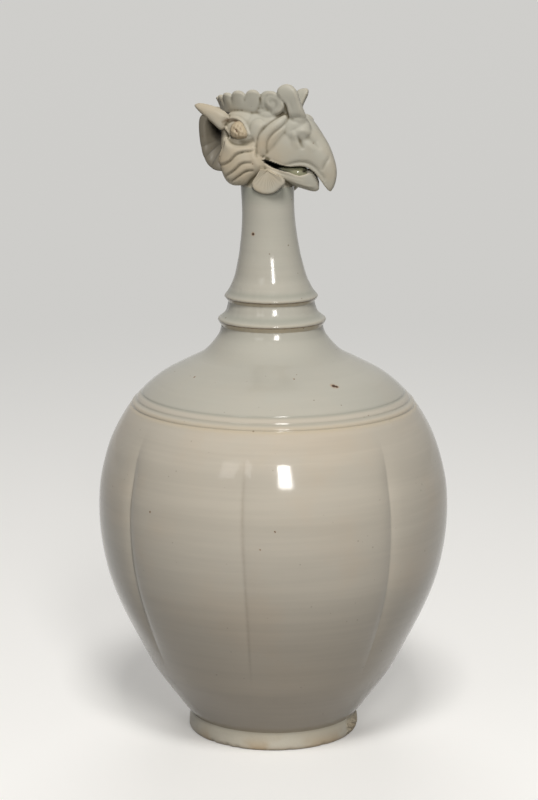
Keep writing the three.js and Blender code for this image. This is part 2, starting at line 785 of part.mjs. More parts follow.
// A sheet of even thickness over front(u, v), with u and v from 0 to 1, thickened along -offset
function sheet(front, offset, columns, rows) {
  const faceOf = (shift) => Array.from({ length: rows + 1 }, (_, row) => (
    Array.from({ length: columns + 1 }, (_unused, column) => (
      front(column / columns, row / rows).addScaledVector(offset, shift)
    ))
  ));
  const rings = faceOf(0).map((line, row) => [...line, ...faceOf(-1)[row].reverse()]);
  return loft(rings);
}

function between(table, share) {
  const place = share * (table.length - 1);
  const index = Math.min(Math.floor(place), table.length - 2);
  return THREE.MathUtils.lerp(table[index], table[index + 1], place - index);
}

// A fluted fan of feathers spreads from a hinge. Its rim stands away from the head.
function fluteFan({ hinge, angles, reaches, flutes, fluteDepth, stand, rise, thickness, root }, grow = 0) {
  const front = (u, v) => {
    const angle = THREE.MathUtils.degToRad(THREE.MathUtils.lerp(angles[0], angles[1], u));
    const reach = THREE.MathUtils.lerp(root, 1, v) * (between(reaches, u) + grow);
    const flute = fluteDepth * v * Math.abs(Math.sin(Math.PI * flutes * u));
    return new THREE.Vector3(
      hinge[0] + reach * Math.cos(angle),
      -(stand + rise * v * v + flute + grow),
      hinge[1] + reach * Math.sin(angle),
    );
  };
  return sheet(front, new THREE.Vector3(0, -(thickness + 2 * grow), 0), flutes * 2, 3);
}

let taken = beakRoom.add(voluteRoom);

// Luting a pair on takes its room away from the pieces that follow.
function lutePair(name, make, finish) {
  addPair(name, luted(upright(make(0)), taken), finish);
  taken = taken.add(toSolid(upright(make(luteGap))));
}

// The two horns differ: the right one is a broad tongue of clay, the left one is slender.
const hornGeometry = (rails, grow = 0) => (
  upright(roundLoft(rails.map(station), { steps: 7, segments: 10, grow }))
);
addHeadPiece('horn_right', toGeometry(luted(hornGeometry(rightHornRails), taken)));
addHeadPiece('horn_left', mirrored(toGeometry(luted(hornGeometry(leftHornRails), taken))));
taken = taken.add(toSolid(hornGeometry(rightHornRails, luteGap)));
taken = taken.add(toSolid(hornGeometry(leftHornRails, luteGap)));

lutePair('eye', (grow) => ellipsoid(
  [eye.x, -eye.y, eye.z],
  [eye.radius + grow, eye.depth + grow, eye.radius + grow],
), darkGlaze);
lutePair('eyelid', (grow) => coil(lidPath, lidRadius + grow, { steps: 6, sides: 6 }));
lutePair('cere', (grow) => coil(cerePath, cereRadius + grow, { steps: 6, sides: 6 }));
lutePair('ear', (grow) => roundLoft(earRails.map(station), { steps: 7, segments: 10, grow }));
cheekLayers.forEach(({ x, z, reach, drop, bulge }, i) => {
  lutePair(`cheek_feather_${i + 1}`, (grow) => ellipsoid(
    [x, cheekDepth, z],
    [reach + grow, bulge + grow, drop + grow],
  ));
});
lutePair('nape_fan', (grow) => fluteFan(napeFan, grow));
lutePair('wattle', (grow) => fluteFan(wattle, grow));

export default ewer;
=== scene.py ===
"""A phoenix-headed ewer in pale green-grey glazed stoneware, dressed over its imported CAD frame.

Shapes are worked out in millimetres. The origin is the middle of the foot's rest face, +Z is up and
the beak points towards +X. The bird's right side is -Y.
"""
import math

import bpy
import numpy as np
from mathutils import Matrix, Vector


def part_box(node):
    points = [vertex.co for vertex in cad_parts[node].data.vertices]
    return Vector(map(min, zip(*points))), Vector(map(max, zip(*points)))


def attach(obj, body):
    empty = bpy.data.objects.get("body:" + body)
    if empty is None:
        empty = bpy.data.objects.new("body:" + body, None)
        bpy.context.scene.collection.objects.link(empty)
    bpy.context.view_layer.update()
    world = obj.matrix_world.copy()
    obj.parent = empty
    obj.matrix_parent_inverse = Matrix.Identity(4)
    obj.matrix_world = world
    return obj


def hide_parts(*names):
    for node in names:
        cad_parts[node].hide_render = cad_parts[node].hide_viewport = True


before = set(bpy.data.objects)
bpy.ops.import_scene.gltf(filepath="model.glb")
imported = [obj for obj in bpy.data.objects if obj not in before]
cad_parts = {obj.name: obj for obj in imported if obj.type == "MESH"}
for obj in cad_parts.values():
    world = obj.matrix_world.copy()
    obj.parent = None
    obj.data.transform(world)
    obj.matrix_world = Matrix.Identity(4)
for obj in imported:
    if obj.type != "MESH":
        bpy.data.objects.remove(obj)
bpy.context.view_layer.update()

MM = 0.001


# Sizes from the frame, in millimetres

def top_corner(node):
    """The highest corner of a CAD node's box."""
    return np.array(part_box(node)[1]) / MM


foot_radius, _, foot_top = top_corner("foot_ring")
body_seam, lower_groove, neck_root, collar_seat, waist_level, neck_foot, neck_top = (
    top_corner(node)[2]
    for node in ("lower_body", "upper_body", "shoulder", "neck_base", "lower_collar", "upper_collar", "neck")
)
neck_lean = 0.037
body_wall = 5.0
groove_spacing = 3.4
groove_levels = lower_groove + groove_spacing * np.arange(3)


def lean_at(height):
    """How far the neck's axis has moved along X at a height."""
    return -neck_lean * np.maximum(0.0, height - neck_root)


head_place = np.array([float(lean_at(neck_top)), 0.0, neck_top])


# Curves and surfaces

def bell(distance, width):
    """The bell curve: 1 at no distance, falling off over a width."""
    return np.exp(-(distance / width) ** 2)


def ease(value, low, high):
    """0 below low, 1 above high and a smooth cubic step between them."""
    share = np.clip((value - low) / (high - low), 0, 1)
    return share * share * (3 - 2 * share)


def round_turn(count):
    """Angles all the way round, in radians, evenly spaced."""
    return np.linspace(0, 2 * np.pi, count, endpoint=False)


def through(points, count, closed=False):
    """A smooth curve through points: a cubic spline on a running sum of the chords' lengths to the power
    0.75, sampled evenly in that sum. A closed curve repeats its points before and after itself, so it
    has no corner."""
    points = np.asarray(points, float)
    if closed:
        lap = len(points)
        points = np.vstack([points, points, points, points[:1]])
    knots = np.concatenate([[0.0], np.cumsum(np.linalg.norm(np.diff(points, axis=0), axis=1) ** 0.75)])
    step = np.diff(knots)
    slope = np.diff(points, axis=0) / step[:, None]
    size = len(points)
    system = np.zeros((size, size))
    target = np.zeros_like(points)
    inner = np.arange(1, size - 1)
    system[inner, inner - 1] = step[:-1]
    system[inner, inner] = 2 * (step[:-1] + step[1:])
    system[inner, inner + 1] = step[1:]
    target[inner] = 6 * np.diff(slope, axis=0)
    system[0, 0] = system[-1, -1] = 1
    bend = np.linalg.solve(system, target)
    if closed:
        share = np.linspace(knots[lap], knots[2 * lap], count, endpoint=False)
    else:
        share = np.linspace(knots[0], knots[-1], count)
    piece = np.clip(np.searchsorted(knots, share, side="right") - 1, 0, size - 2)
    span = step[piece][:, None]
    first = (knots[piece + 1] - share)[:, None] / span
    second = 1 - first
    curved = (first ** 3 - first) * bend[piece] + (second ** 3 - second) * bend[piece + 1]
    return first * points[piece] + second * points[piece + 1] + curved * span ** 2 / 6


def grid_faces(rows, columns, over=False):
    """The four-sided faces of a grid of points whose last column joins its first; over joins its last
    row to its first too."""
    row, column = np.meshgrid(np.arange(rows if over else rows - 1), np.arange(columns), indexing="ij")
    row, column = row.ravel(), column.ravel()
    next_row, next_column = (row + 1) % rows, (column + 1) % columns
    corners = [(row, column), (row, next_column), (next_row, next_column), (next_row, column)]
    return np.stack([r * columns + c for r, c in corners], axis=1)


def turned_over(faces):
    """The faces with their corners in the other order; a triangle keeps its repeated corner last."""
    triangle = (faces[:, 2] == faces[:, 3])[:, None]
    return np.where(triangle, faces[:, [2, 1, 0, 0]], faces[:, ::-1])


def outward(points, faces):
    """The faces turned so that a closed surface's volume is positive."""
    a, b, c, d = (points[faces[:, k]] for k in range(4))
    volume = np.einsum("ij,ij->", a, np.cross(b, c)) + np.einsum("ij,ij->", a, np.cross(c, d))
    return faces if volume > 0 else turned_over(faces)


def closed_grid(rings):
    """A closed skin over rings of points: the rings in order, with a point added at the middle of the
    first and of the last ring to close the ends."""
    rows, columns = rings.shape[:2]
    points = np.vstack([rings.reshape(-1, 3), rings[0].mean(axis=0)[None], rings[-1].mean(axis=0)[None]])
    here = np.arange(columns)
    beside = (here + 1) % columns
    start = np.full(columns, rows * columns)
    last = (rows - 1) * columns
    first_cap = np.stack([start, beside, here, here], axis=1)
    last_cap = np.stack([start + 1, last + here, last + beside, last + beside], axis=1)
    faces = np.vstack([grid_faces(rows, columns), first_cap, last_cap])
    return points, outward(points, faces)


def ring_wall(points):
    """A closed skin over a grid of points that is joined both around and over."""
    rows, columns = points.shape[:2]
    points = points.reshape(-1, 3)
    return points, outward(points, grid_faces(rows, columns, over=True))


def mirrored(skin):
    """The same skin on the other side of the Y = 0 plane."""
    points, faces = skin
    return points * np.array([1, -1, 1]), turned_over(faces)


def joined(skins):
    """Several skins in one list of points and faces."""
    points, faces, start = [], [], 0
    for skin_points, skin_faces in skins:
        points.append(skin_points)
        faces.append(skin_faces + start)
        start += len(skin_points)
    return np.vstack(points), np.vstack(faces)


def mesh_of(name, points, faces):
    """A Blender mesh from points and four-sided faces; a repeated last corner makes a triangle."""
    short = faces[:, 2] == faces[:, 3]
    corners = np.where(short, 3, 4)
    loops = faces.ravel()[np.stack([np.ones_like(short)] * 3 + [~short], axis=1).ravel()]
    mesh = bpy.data.meshes.new(name)
    mesh.vertices.add(len(points))
    mesh.vertices.foreach_set("co", np.asarray(points, np.float32).ravel())
    mesh.loops.add(len(loops))
    mesh.loops.foreach_set("vertex_index", loops.astype(np.int32))
    mesh.polygons.add(len(faces))
    mesh.polygons.foreach_set("loop_start", np.concatenate([[0], np.cumsum(corners)[:-1]]).astype(np.int32))
    mesh.update(calc_edges=True)
    mesh.validate()
    return mesh


def move_points(mesh, points):
    """Puts a mesh's points at new places."""
    mesh.vertices.foreach_set("co", points.astype(np.float32).ravel())
    mesh.update()


def arrays_of(mesh):
    """Points, edges and vertex normals of a mesh as arrays."""
    points = np.empty(len(mesh.vertices) * 3, np.float32)
    mesh.vertices.foreach_get("co", points)
    edges = np.empty(len(mesh.edges) * 2, np.int32)
    mesh.edges.foreach_get("vertices", edges)
    normals = np.empty(len(mesh.vertices) * 3, np.float32)
    mesh.vertex_normals.foreach_get("vector", normals)
    return points.reshape(-1, 3).astype(float), edges.reshape(-1, 2), normals.reshape(-1, 3).astype(float)


def average_of_neighbours(values, edges):
    """Each point's mean of the values at the points that an edge joins it to."""
    values = values.reshape(len(values), -1)
    ends = np.concatenate([edges[:, 0], edges[:, 1]])
    others = np.concatenate([edges[:, 1], edges[:, 0]])
    count = np.maximum(np.bincount(ends, minlength=len(values)), 1)
    sums = [np.bincount(ends, values[others, k], minlength=len(values)) for k in range(values.shape[1])]
    return np.stack(sums, axis=1) / count[:, None]


def softened(points, edges, rounds, keep):
    """Rubs a surface smooth: each round moves the points halfway to their neighbours' mean, and keep
    gives back that share of the shrinkage."""
    for _ in range(rounds):
        points = points + 0.5 * (average_of_neighbours(points, edges) - points)
        points = points - 0.5 * keep * (average_of_neighbours(points, edges) - points)
    return points


def hollows(points, edges, normals, rounds):
    """How far the surface bends, per millimetre: the mean over a point's edges of the neighbour's
    height above the tangent plane over the edge's squared length, then smoothed. It is positive in
    hollows and negative on ridges."""
    along = points[edges[:, 1]] - points[edges[:, 0]]
    squared = np.maximum(np.einsum("ij,ij->i", along, along), 1e-9)
    up = np.einsum("ij,ij->i", along, normals[edges[:, 0]]) / squared
    down = -np.einsum("ij,ij->i", along, normals[edges[:, 1]]) / squared
    ends = np.concatenate([edges[:, 0], edges[:, 1]])
    count = np.maximum(np.bincount(ends, minlength=len(points)), 1)
    bend = 2 * np.bincount(ends, np.concatenate([up, down]), minlength=len(points)) / count
    for _ in range(rounds):
        bend = 0.4 * bend + 0.6 * average_of_neighbours(bend, edges)[:, 0]
    return bend


def paint(mesh, thin, pooled, bare=None, deep=None):
    """Stores where the glaze is thin, pooled or missing in the mesh's glaze attribute, and in its alpha
    the painted shade where the surface lies so deep in a hole that it is dark."""
    shades = np.zeros((len(mesh.vertices), 4), np.float32)
    shades[:, 0] = np.clip(thin, 0, 1)
    shades[:, 1] = np.clip(pooled, 0, 1)
    if bare is not None:
        shades[:, 2] = np.clip(bare, 0, 1)
    # Alpha: 1 less the painted shade of a hole
    shades[:, 3] = 1 if deep is None else 1 - np.clip(deep, 0, 1)
    layer = mesh.color_attributes.new(name="glaze", type="FLOAT_COLOR", domain="POINT")
    layer.data.foreach_set("color", shades.ravel())


def settle(name, mesh, nodes, material, crease=38):
    """Makes the finished piece from a mesh in metres: smooth shading with sharp edges past the crease
    angle, its material, and the frame's body and nodes."""
    mesh.polygons.foreach_set("use_smooth", np.ones(len(mesh.polygons), bool))
    mesh.set_sharp_from_angle(angle=math.radians(crease))
    mesh.materials.append(material)
    piece = bpy.data.objects.new(name, mesh)
    bpy.context.scene.collection.objects.link(piece)
    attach(piece, "root")
    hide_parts(*nodes)


# Glaze, clay and floor finishes

def add_node(tree, kind, inputs=None, **settings):
    """A shader node with its settings; inputs are values or the sockets that feed it, by name or
    number."""
    node = tree.nodes.new(kind)
    for key, value in settings.items():
        setattr(node, key, value)
    for key, value in (inputs or {}).items():
        if isinstance(value, bpy.types.NodeSocket):
            tree.links.new(value, node.inputs[key])
        else:
            node.inputs[key].default_value = value
    return node


def maths(tree, operation, first, second, third=None):
    """The result of one sum, product or the like."""
    inputs = {0: first, 1: second}
    if third is not None:
        inputs[2] = third
    return add_node(tree, "ShaderNodeMath", inputs, operation=operation).outputs[0]


def blend(tree, share, first, second, kind="MIX"):
    """Two colours mixed by a share."""
    inputs = {0: share, 6: first, 7: second}
    return add_node(tree, "ShaderNodeMix", inputs, data_type="RGBA", blend_type=kind).outputs[2]


def product(tree, first, second):
    """Two values multiplied."""
    return maths(tree, "MULTIPLY", first, second)


def part_between(tree, value, low, high):
    """0 where a value is low, 1 where it is high, smooth between."""
    inputs = {"Value": value, "From Min": low, "From Max": high}
    return add_node(tree, "ShaderNodeMapRange", inputs, interpolation_type="SMOOTHSTEP").outputs[0]


def cloud(tree, place, scale, detail, rough=0.55):
    """A noise value over places in metres; scale is a number of waves per metre, and detail the number of
    finer layers."""
    inputs = {"Vector": place, "Scale": scale, "Detail": detail, "Roughness": rough}
    return add_node(tree, "ShaderNodeTexNoise", inputs).outputs[0]


def stretched(tree, place, along, up):
    """The places scaled along X and Y, and up Z, for marks that run round the pot."""
    inputs = {"Vector": place, "Scale": (along, along, up)}
    return add_node(tree, "ShaderNodeMapping", inputs).outputs[0]


def new_group(name, inputs, outputs):
    """An empty shader node group with its sockets: names with their kinds and values."""
    group = bpy.data.node_groups.new(name, "ShaderNodeTree")
    for key, (kind, value) in inputs.items():
        socket = group.interface.new_socket(key, in_out="INPUT", socket_type=kind)
        socket.default_value = value
    for key, kind in outputs.items():
        group.interface.new_socket(key, in_out="OUTPUT", socket_type=kind)
    return group, group.nodes.new("NodeGroupInput").outputs, group.nodes.new("NodeGroupOutput").inputs


COLOUR, VALUE = "NodeSocketColor", "NodeSocketFloat"


def object_places(tree):
    """The places on a piece, in metres."""
    return add_node(tree, "ShaderNodeTexCoord").outputs["Object"]


def painted_marks(tree):
    """The glaze attribute: its red, green and blue shares, and its alpha."""
    painted = add_node(tree, "ShaderNodeAttribute", attribute_name="glaze", attribute_type="GEOMETRY")
    marks = add_node(tree, "ShaderNodeSeparateColor", {"Color": painted.outputs["Color"]})
    return *marks.outputs, painted.outputs["Alpha"]


def make_speckle_group():
    """Iron specks under the glaze: a cell pattern's distance to each cell's centre, kept where it is
    less than a radius that varies from cell to cell, and dropped where the cell's own shade is low."""
    group, given, result = new_group(
        "iron specks",
        {"Scale": (VALUE, 300.0), "Share": (VALUE, 0.2), "Size": (VALUE, 0.25)},
        {"Mask": VALUE},
    )
    cells = add_node(group, "ShaderNodeTexVoronoi", {"Vector": object_places(group), "Scale": given["Scale"]})
    shade = add_node(group, "ShaderNodeSeparateColor", {"Color": cells.outputs["Color"]})
    chosen = maths(group, "LESS_THAN", shade.outputs["Red"], given["Share"])
    radius = product(group, given["Size"], shade.outputs["Green"])
    edge = maths(group, "SUBTRACT", radius, cells.outputs["Distance"])
    group.links.new(product(group, part_between(group, edge, 0.0, 0.12), chosen), result["Mask"])
    return group


# The few iron spots that stand out: their places and sizes in metres
iron_spots = [
    ((0.0474, -0.0398, 0.2211), 0.0013), ((0.0489, -0.0392, 0.2208), 0.0011),
    ((-0.0081, -0.0152, 0.3039), 0.0008), ((-0.0345, -0.0465, 0.2232), 0.0005),
    ((0.0257, -0.0469, 0.2254), 0.0004), ((-0.0467, -0.0933, 0.1528), 0.0005),
    ((0.0296, -0.1004, 0.1483), 0.00045), ((0.0214, -0.1023, 0.1380), 0.0004),
]
spot_shake = 0.0011
spot_core, spot_halo = (70, 48, 32), (164, 124, 82)


def make_spot_group():
    """The few large iron spots: for each the distance to its place over its size, with the places shaken
    by noise so that the outlines are ragged. The mask is the nearest spot's core, the halo a ring
    round it."""
    group, _, result = new_group("iron spots", {}, {"Mask": VALUE, "Halo": VALUE})

    def vector(operation, inputs, output=0):
        """The result of a sum or product of vectors."""
        return add_node(group, "ShaderNodeVectorMath", inputs, operation=operation).outputs[output]

    place = object_places(group)
    noise = add_node(group, "ShaderNodeTexNoise", {"Vector": place, "Scale": 900.0, "Detail": 2.0})
    shake = vector("SUBTRACT", {0: noise.outputs["Color"], 1: (0.5, 0.5, 0.5)})
    shaken = vector("MULTIPLY_ADD", {0: shake, 1: (spot_shake, spot_shake, spot_shake), 2: place})
    nearest = 10.0
    for centre, size in iron_spots:
        gap = vector("DISTANCE", {0: shaken, 1: centre}, "Value")
        nearest = maths(group, "MINIMUM", maths(group, "DIVIDE", gap, size), nearest)
    group.links.new(part_between(group, nearest, 1.15, 0.75), result["Mask"])
    group.links.new(part_between(group, nearest, 2.1, 1.0), result["Halo"])
    return group


def make_glaze_group(speckle, spots):
    """The glaze's colour from its thickness: thin on ridges, pooled in hollows, warm in drifting clouds
    and towards the foot, wiped in faint level streaks, with iron specks beneath. Belly is the colour
    below the upper groove, Bare the clay where the glaze is missing; the dark colour for holes is
    painted shade, put where light does not reach."""
    colours = ("Glaze", "Belly", "Warm", "Thin", "Pool", "Bare", "PaintedShade", "Speck")
    amounts = ("Streaks", "Clouds", "Specks", "Wave")
    group, given, result = new_group(
        "glaze coat",
        {
            **{name: (COLOUR, (0.5, 0.5, 0.5, 1)) for name in colours},
            **{name: (VALUE, 0.5) for name in amounts},
        },
        {"Colour": COLOUR, "Height": VALUE, "Dulling": VALUE},
    )
    place = object_places(group)
    # The alpha is 1 less the painted shade of holes
    thin_mark, pool_mark, bare_mark, shallow = painted_marks(group)
    height = add_node(group, "ShaderNodeSeparateXYZ", {"Vector": place}).outputs["Z"]

    # Two tones that meet at the upper groove, and warm clouds that close up towards the foot
    drift = part_between(group, cloud(group, place, 17.0, 4.0), 0.42, 0.66)
    low = part_between(group, height, 0.125, 0.02)
    warm_share = product(group, maths(group, "MAXIMUM", drift, low), given["Clouds"])
    edge = float(groove_levels[-1]) * MM
    below = part_between(group, height, edge + 0.0005, edge - 0.0008)
    colour = blend(group, below, given["Glaze"], given["Belly"])
    colour = blend(group, warm_share, colour, given["Warm"])

    # Level streaks, as a grey that multiplies the colour
    broad = cloud(group, stretched(group, place, 5.0, 75.0), 1.0, 4.0, 0.6)
    fine = cloud(group, stretched(group, place, 9.0, 420.0), 1.0, 2.0, 0.5)
    streak = maths(group, "MULTIPLY_ADD", fine, 0.25, product(group, broad, 0.75))
    streak = part_between(group, streak, 0.36, 0.64)
    shade = maths(group, "MULTIPLY_ADD", maths(group, "SUBTRACT", streak, 0.5), given["Streaks"], 1.0)
    grey = add_node(group, "ShaderNodeCombineColor", {"Red": shade, "Green": shade, "Blue": shade}).outputs[0]
    colour = blend(group, 1.0, colour, grey, "MULTIPLY")

    # Thin, pooled and missing glaze; thin and missing ones have torn edges
    torn = maths(group, "MULTIPLY_ADD", cloud(group, place, 420.0, 3.0), 1.2, 0.35)

    def torn_share(mark):
        """A mark times a noise, at most 1."""
        return maths(group, "MINIMUM", product(group, mark, torn), 1.0)

    colour = blend(group, torn_share(thin_mark), colour, given["Thin"])
    colour = blend(group, pool_mark, colour, given["Pool"])
    colour = blend(group, torn_share(bare_mark), colour, given["Bare"])

    # Iron: small and large specks, and the few spots with their halos
    def specks(scale, share, size):
        """The mask of one kind of speck."""
        inputs = {"Scale": scale, "Share": share, "Size": size}
        return add_node(group, "ShaderNodeGroup", inputs, node_tree=speckle).outputs["Mask"]

    speck = maths(group, "MAXIMUM", specks(420.0, 0.05, 0.30), specks(75.0, 0.03, 0.16))
    colour = blend(group, product(group, speck, given["Specks"]), colour, given["Speck"])
    iron = add_node(group, "ShaderNodeGroup", node_tree=spots)
    colour = blend(group, product(group, iron.outputs["Halo"], 0.5), colour, rgb(*spot_halo))
    colour = blend(group, iron.outputs["Mask"], colour, rgb(*spot_core))
    # Painted shade: where the painted mark says a hole is dark, the dark colour replaces the glaze
    colour = blend(group, shallow, given["PaintedShade"], colour)
    group.links.new(colour, result["Colour"])

    # The surface: a slow swell, fine pits and the streaks' relief
    swell = product(group, cloud(group, place, 38.0, 1.0), 3.0)
    pitted = product(group, cloud(group, place, 700.0, 2.0), 0.12)
    relief = maths(group, "ADD", maths(group, "ADD", swell, pitted), product(group, broad, 0.9))
    group.links.new(product(group, relief, given["Wave"]), result["Height"])
    group.links.new(product(group, cloud(group, place, 120.0, 3.0), 0.12), result["Dulling"])
    return group


def rgb(red, green, blue):
    """A colour of the working space from one in screen values out of 255."""
    screen = np.array([red, green, blue]) / 255
    linear = np.where(screen <= 0.04045, screen / 12.92, ((screen + 0.055) / 1.055) ** 2.4)
    return (*(float(part) for part in linear), 1.0)


def surface(name):
    """A material's tree and its surface shader."""
    material = bpy.data.materials.new(name)
    material.use_nodes = True
    return material, material.node_tree, material.node_tree.nodes["Principled BSDF"]


speckle_group = make_speckle_group()
glaze_group = make_glaze_group(speckle_group, make_spot_group())


def finish_surface(tree, shader, colour, rough, height, distance):
    """Feeds a surface shader its colour, its roughness and a bump, which is a height times a distance in
    metres."""
    relief = add_node(tree, "ShaderNodeBump", {"Height": height, "Distance": distance})
    tree.links.new(colour, shader.inputs["Base Color"])
    tree.links.new(rough, shader.inputs["Roughness"])
    tree.links.new(relief.outputs["Normal"], shader.inputs["Normal"])


glaze_colours = {
    "Glaze": rgb(182, 179, 167),
    "Belly": rgb(194, 186, 171),
    "Warm": rgb(197, 183, 163),
    "Thin": rgb(198, 182, 154),
    "Pool": rgb(138, 137, 120),
    "Bare": rgb(116, 94, 72),
    # The dark colour for holes is painted shade
    "PaintedShade": rgb(26, 22, 18),
    "Speck": rgb(104, 82, 58),
}
glaze_bump = 0.00008


def glaze_material(name, gloss, level, amounts, **changed):
    """A glazed surface: the glaze group's colour over a smooth shader with a low, slow bump. Amounts are
    those of the streaks, clouds, specks and waves; changed colours replace the common ones."""
    material, tree, shader = surface(name)
    amounts = dict(zip(("Streaks", "Clouds", "Specks", "Wave"), amounts))
    coat = add_node(tree, "ShaderNodeGroup", {**glaze_colours, **changed, **amounts}, node_tree=glaze_group)
    rough = maths(tree, "ADD", coat.outputs["Dulling"], gloss)
    finish_surface(tree, shader, coat.outputs["Colour"], rough, coat.outputs["Height"], glaze_bump)
    shader.inputs["Specular IOR Level"].default_value = level
    shader.inputs["IOR"].default_value = 1.5
    return material


body_glaze = glaze_material("body_glaze", gloss=0.04, level=0.5, amounts=(0.08, 0.6, 0.3, 1.0))
shoulder_glaze = glaze_material(
    "shoulder_glaze", gloss=0.06, level=0.5, amounts=(0.05, 0.15, 0.6, 1.0), Pool=rgb(140, 143, 130),
)
# Its dark pool colour in the creases is partly pooled glaze and partly painted shade
head_glaze = glaze_material(
    "head_glaze", gloss=0.38, level=0.4, amounts=(0.0, 0.9, 0.6, 0.8),
    Glaze=rgb(179, 176, 163), Warm=rgb(184, 168, 142), Thin=rgb(192, 181, 160), Pool=rgb(104, 96, 76),
)
# The fan's glaze is a darkened copy of the head's: painted shade for its hollow, with lighter thin rims and
# near-black pools
fan_glaze_painted_shade = glaze_material(
    "fan_glaze_painted_shade", gloss=0.34, level=0.4, amounts=(0.0, 0.4, 0.35, 0.5),
    Glaze=rgb(108, 103, 91), Warm=rgb(112, 103, 88), Thin=rgb(150, 143, 127), Pool=rgb(46, 43, 36),
)
eye_glaze = glaze_material(
    "eye_glaze", gloss=0.3, level=0.4, amounts=(0.0, 0.8, 0.5, 0.6),
    Glaze=rgb(184, 170, 144), Warm=rgb(160, 134, 104), Pool=rgb(112, 88, 64),
)
pooled_glaze = glaze_material(
    "pooled_glaze", gloss=0.08, level=0.5, amounts=(0.0, 0.5, 0.2, 0.4),
    Glaze=rgb(124, 128, 102), Warm=rgb(112, 110, 86), Pool=rgb(58, 62, 44),
)


def clay_material():
    """The foot: a smooth cream coat, toasted ochre in soft clouds towards the rest face, and grainy bare
    clay on the rest face and where the foot is chipped."""
    material, tree, shader = surface("bare_clay")
    cream, toast = rgb(230, 223, 205), rgb(202, 174, 132)
    glaze_wash, worn_edge = rgb(150, 145, 126), rgb(170, 136, 96)
    pale_grain, dark_grain = rgb(204, 190, 162), rgb(150, 126, 94)
    place = object_places(tree)
    edge_mark, _, bare_mark, _ = painted_marks(tree)
    height = add_node(tree, "ShaderNodeSeparateXYZ", {"Vector": place}).outputs["Z"]
    drift = part_between(tree, cloud(tree, place, 38.0, 3.0), 0.42, 0.62)
    low = part_between(tree, height, 0.0095, 0.0005)
    toasted = product(tree, drift, maths(tree, "MULTIPLY_ADD", low, 0.5, 0.12))
    washed = product(tree, part_between(tree, height, 0.0088, 0.0114), 0.4)
    colour = blend(tree, toasted, cream, toast)
    colour = blend(tree, washed, colour, glaze_wash)
    colour = blend(tree, product(tree, edge_mark, 0.35), colour, worn_edge)
    grain = cloud(tree, place, 760.0, 4.0, 0.7)
    clay = blend(tree, part_between(tree, grain, 0.42, 0.66), pale_grain, dark_grain)
    cut = maths(tree, "MAXIMUM", bare_mark, part_between(tree, height, 0.0012, 0.0004))
    ragged = maths(tree, "MULTIPLY_ADD", cloud(tree, place, 260.0, 3.0), 1.3, -0.15)
    bare = add_node(tree, "ShaderNodeClamp", {"Value": product(tree, cut, ragged)}).outputs[0]
    rough = add_node(tree, "ShaderNodeMapRange", {"Value": bare, "To Min": 0.32, "To Max": 0.85}).outputs[0]
    rise = maths(tree, "ADD", product(tree, grain, bare), cloud(tree, place, 160.0, 2.0))
    finish_surface(tree, shader, blend(tree, bare, colour, clay), rough, rise, 0.0004)
    return material


bare_clay = clay_material()


# The thrown pieces

foot_taper = 0.9
body_outline = through([
    (foot_radius - foot_taper, foot_top), (53.8, 15), (57.6, 20), (64.6, 29.6), (71.9, 40), (79.5, 54),
    (87.3, 69.5), (94.2, 84.6), (99.6, 100), (102.9, 115), (104.6, 129), (104.9, 142), (103.9, 155),
    (101.6, 166), (97.5, 179), (91.5, 191), (83.4, 203), (74.8, 212), (65.6, 219), (56.0, 224.2),
    (48.1, 228.2), (42.4, 231.2), (38.0, 234.9), (33.8, 239.8), (31.2, 243.8), (30.0, 248),
], 1600)
neck_outline = through([
    (23.6, 272), (21.4, 277), (20.0, 282), (18.9, 286.8), (17.9, 291.5), (17.2, 296.3), (16.5, 301),
    (16.0, 305.8), (15.6, 310.5), (15.4, 317.6), (15.5, 325), (15.7, 331),
], 300)

groove_half_width = 1.1
groove_depth = 0.45
bead_rise = 0.45
bead_level = groove_levels[0] + groove_spacing / 2

furrow_angles = np.array([17.5, 60.3, 103.2, 146.0, 188.9, 231.7, 276.6, 327.6])
furrow_depths = np.array([2.0, 1.8, 2.1, 1.7, 2.0, 2.4, 1.0, 2.4])
furrow_spread = 3.3
crease_softness = 0.3
furrow_top = lower_groove - groove_spacing
furrow_bottom = 42.0
front_furrow = furrow_angles[6]


def body_radius(height):
    """The body's smooth outer radius at a height."""
    return np.interp(height, body_outline[:, 1], body_outline[:, 0])


def turn_from(degrees, angles):
    """How far each angle is from each of several others, from -180 to 180 degrees."""
    return (degrees[..., None] - angles + 540) % 360 - 180


def furrow_wander(height, furrow):
    """How far a furrow strays from its angle at a height: half a degree's slow wave."""
    return 0.5 * np.sin(height / 23 + furrow / 40)


def furrows(degrees, height):
    """How deep the hand-pressed furrows are: at each furrow the wall sinks by the exponential of minus the
    angle's distance over the spread, with a softened crease at its bottom. They run out towards the foot
    and stop below the grooves."""
    fade = ease(height, furrow_bottom, furrow_bottom + 50) * (1 - ease(height, furrow_top - 36, furrow_top))
    away = turn_from(degrees, furrow_angles) + furrow_wander(height[..., None], furrow_angles)
    distance = np.hypot(away, crease_softness) - crease_softness
    return np.exp(-distance / furrow_spread) @ furrow_depths * fade


def grooves(height):
    """Each incised line on the shoulder is a bell-shaped cut, and the clay between the lower two swells
    into a bell-shaped bead."""
    away = np.abs(height[..., None] - groove_levels)
    cut = groove_depth * bell(away, 0.6 * groove_half_width).sum(axis=-1)
    return cut - bead_rise * bell(height - bead_level, 0.38 * groove_spacing)


def hand(degrees, height):
    """The small unevenness of hand work: a sum of two, three and five waves round the pot, each of which
    also drifts with the height."""
    turn = np.radians(degrees)
    return (0.16 * np.sin(2 * turn + height / 60) + 0.10 * np.sin(3 * turn - height / 34 + 1.1)
            + 0.05 * np.sin(5 * turn + height / 17))


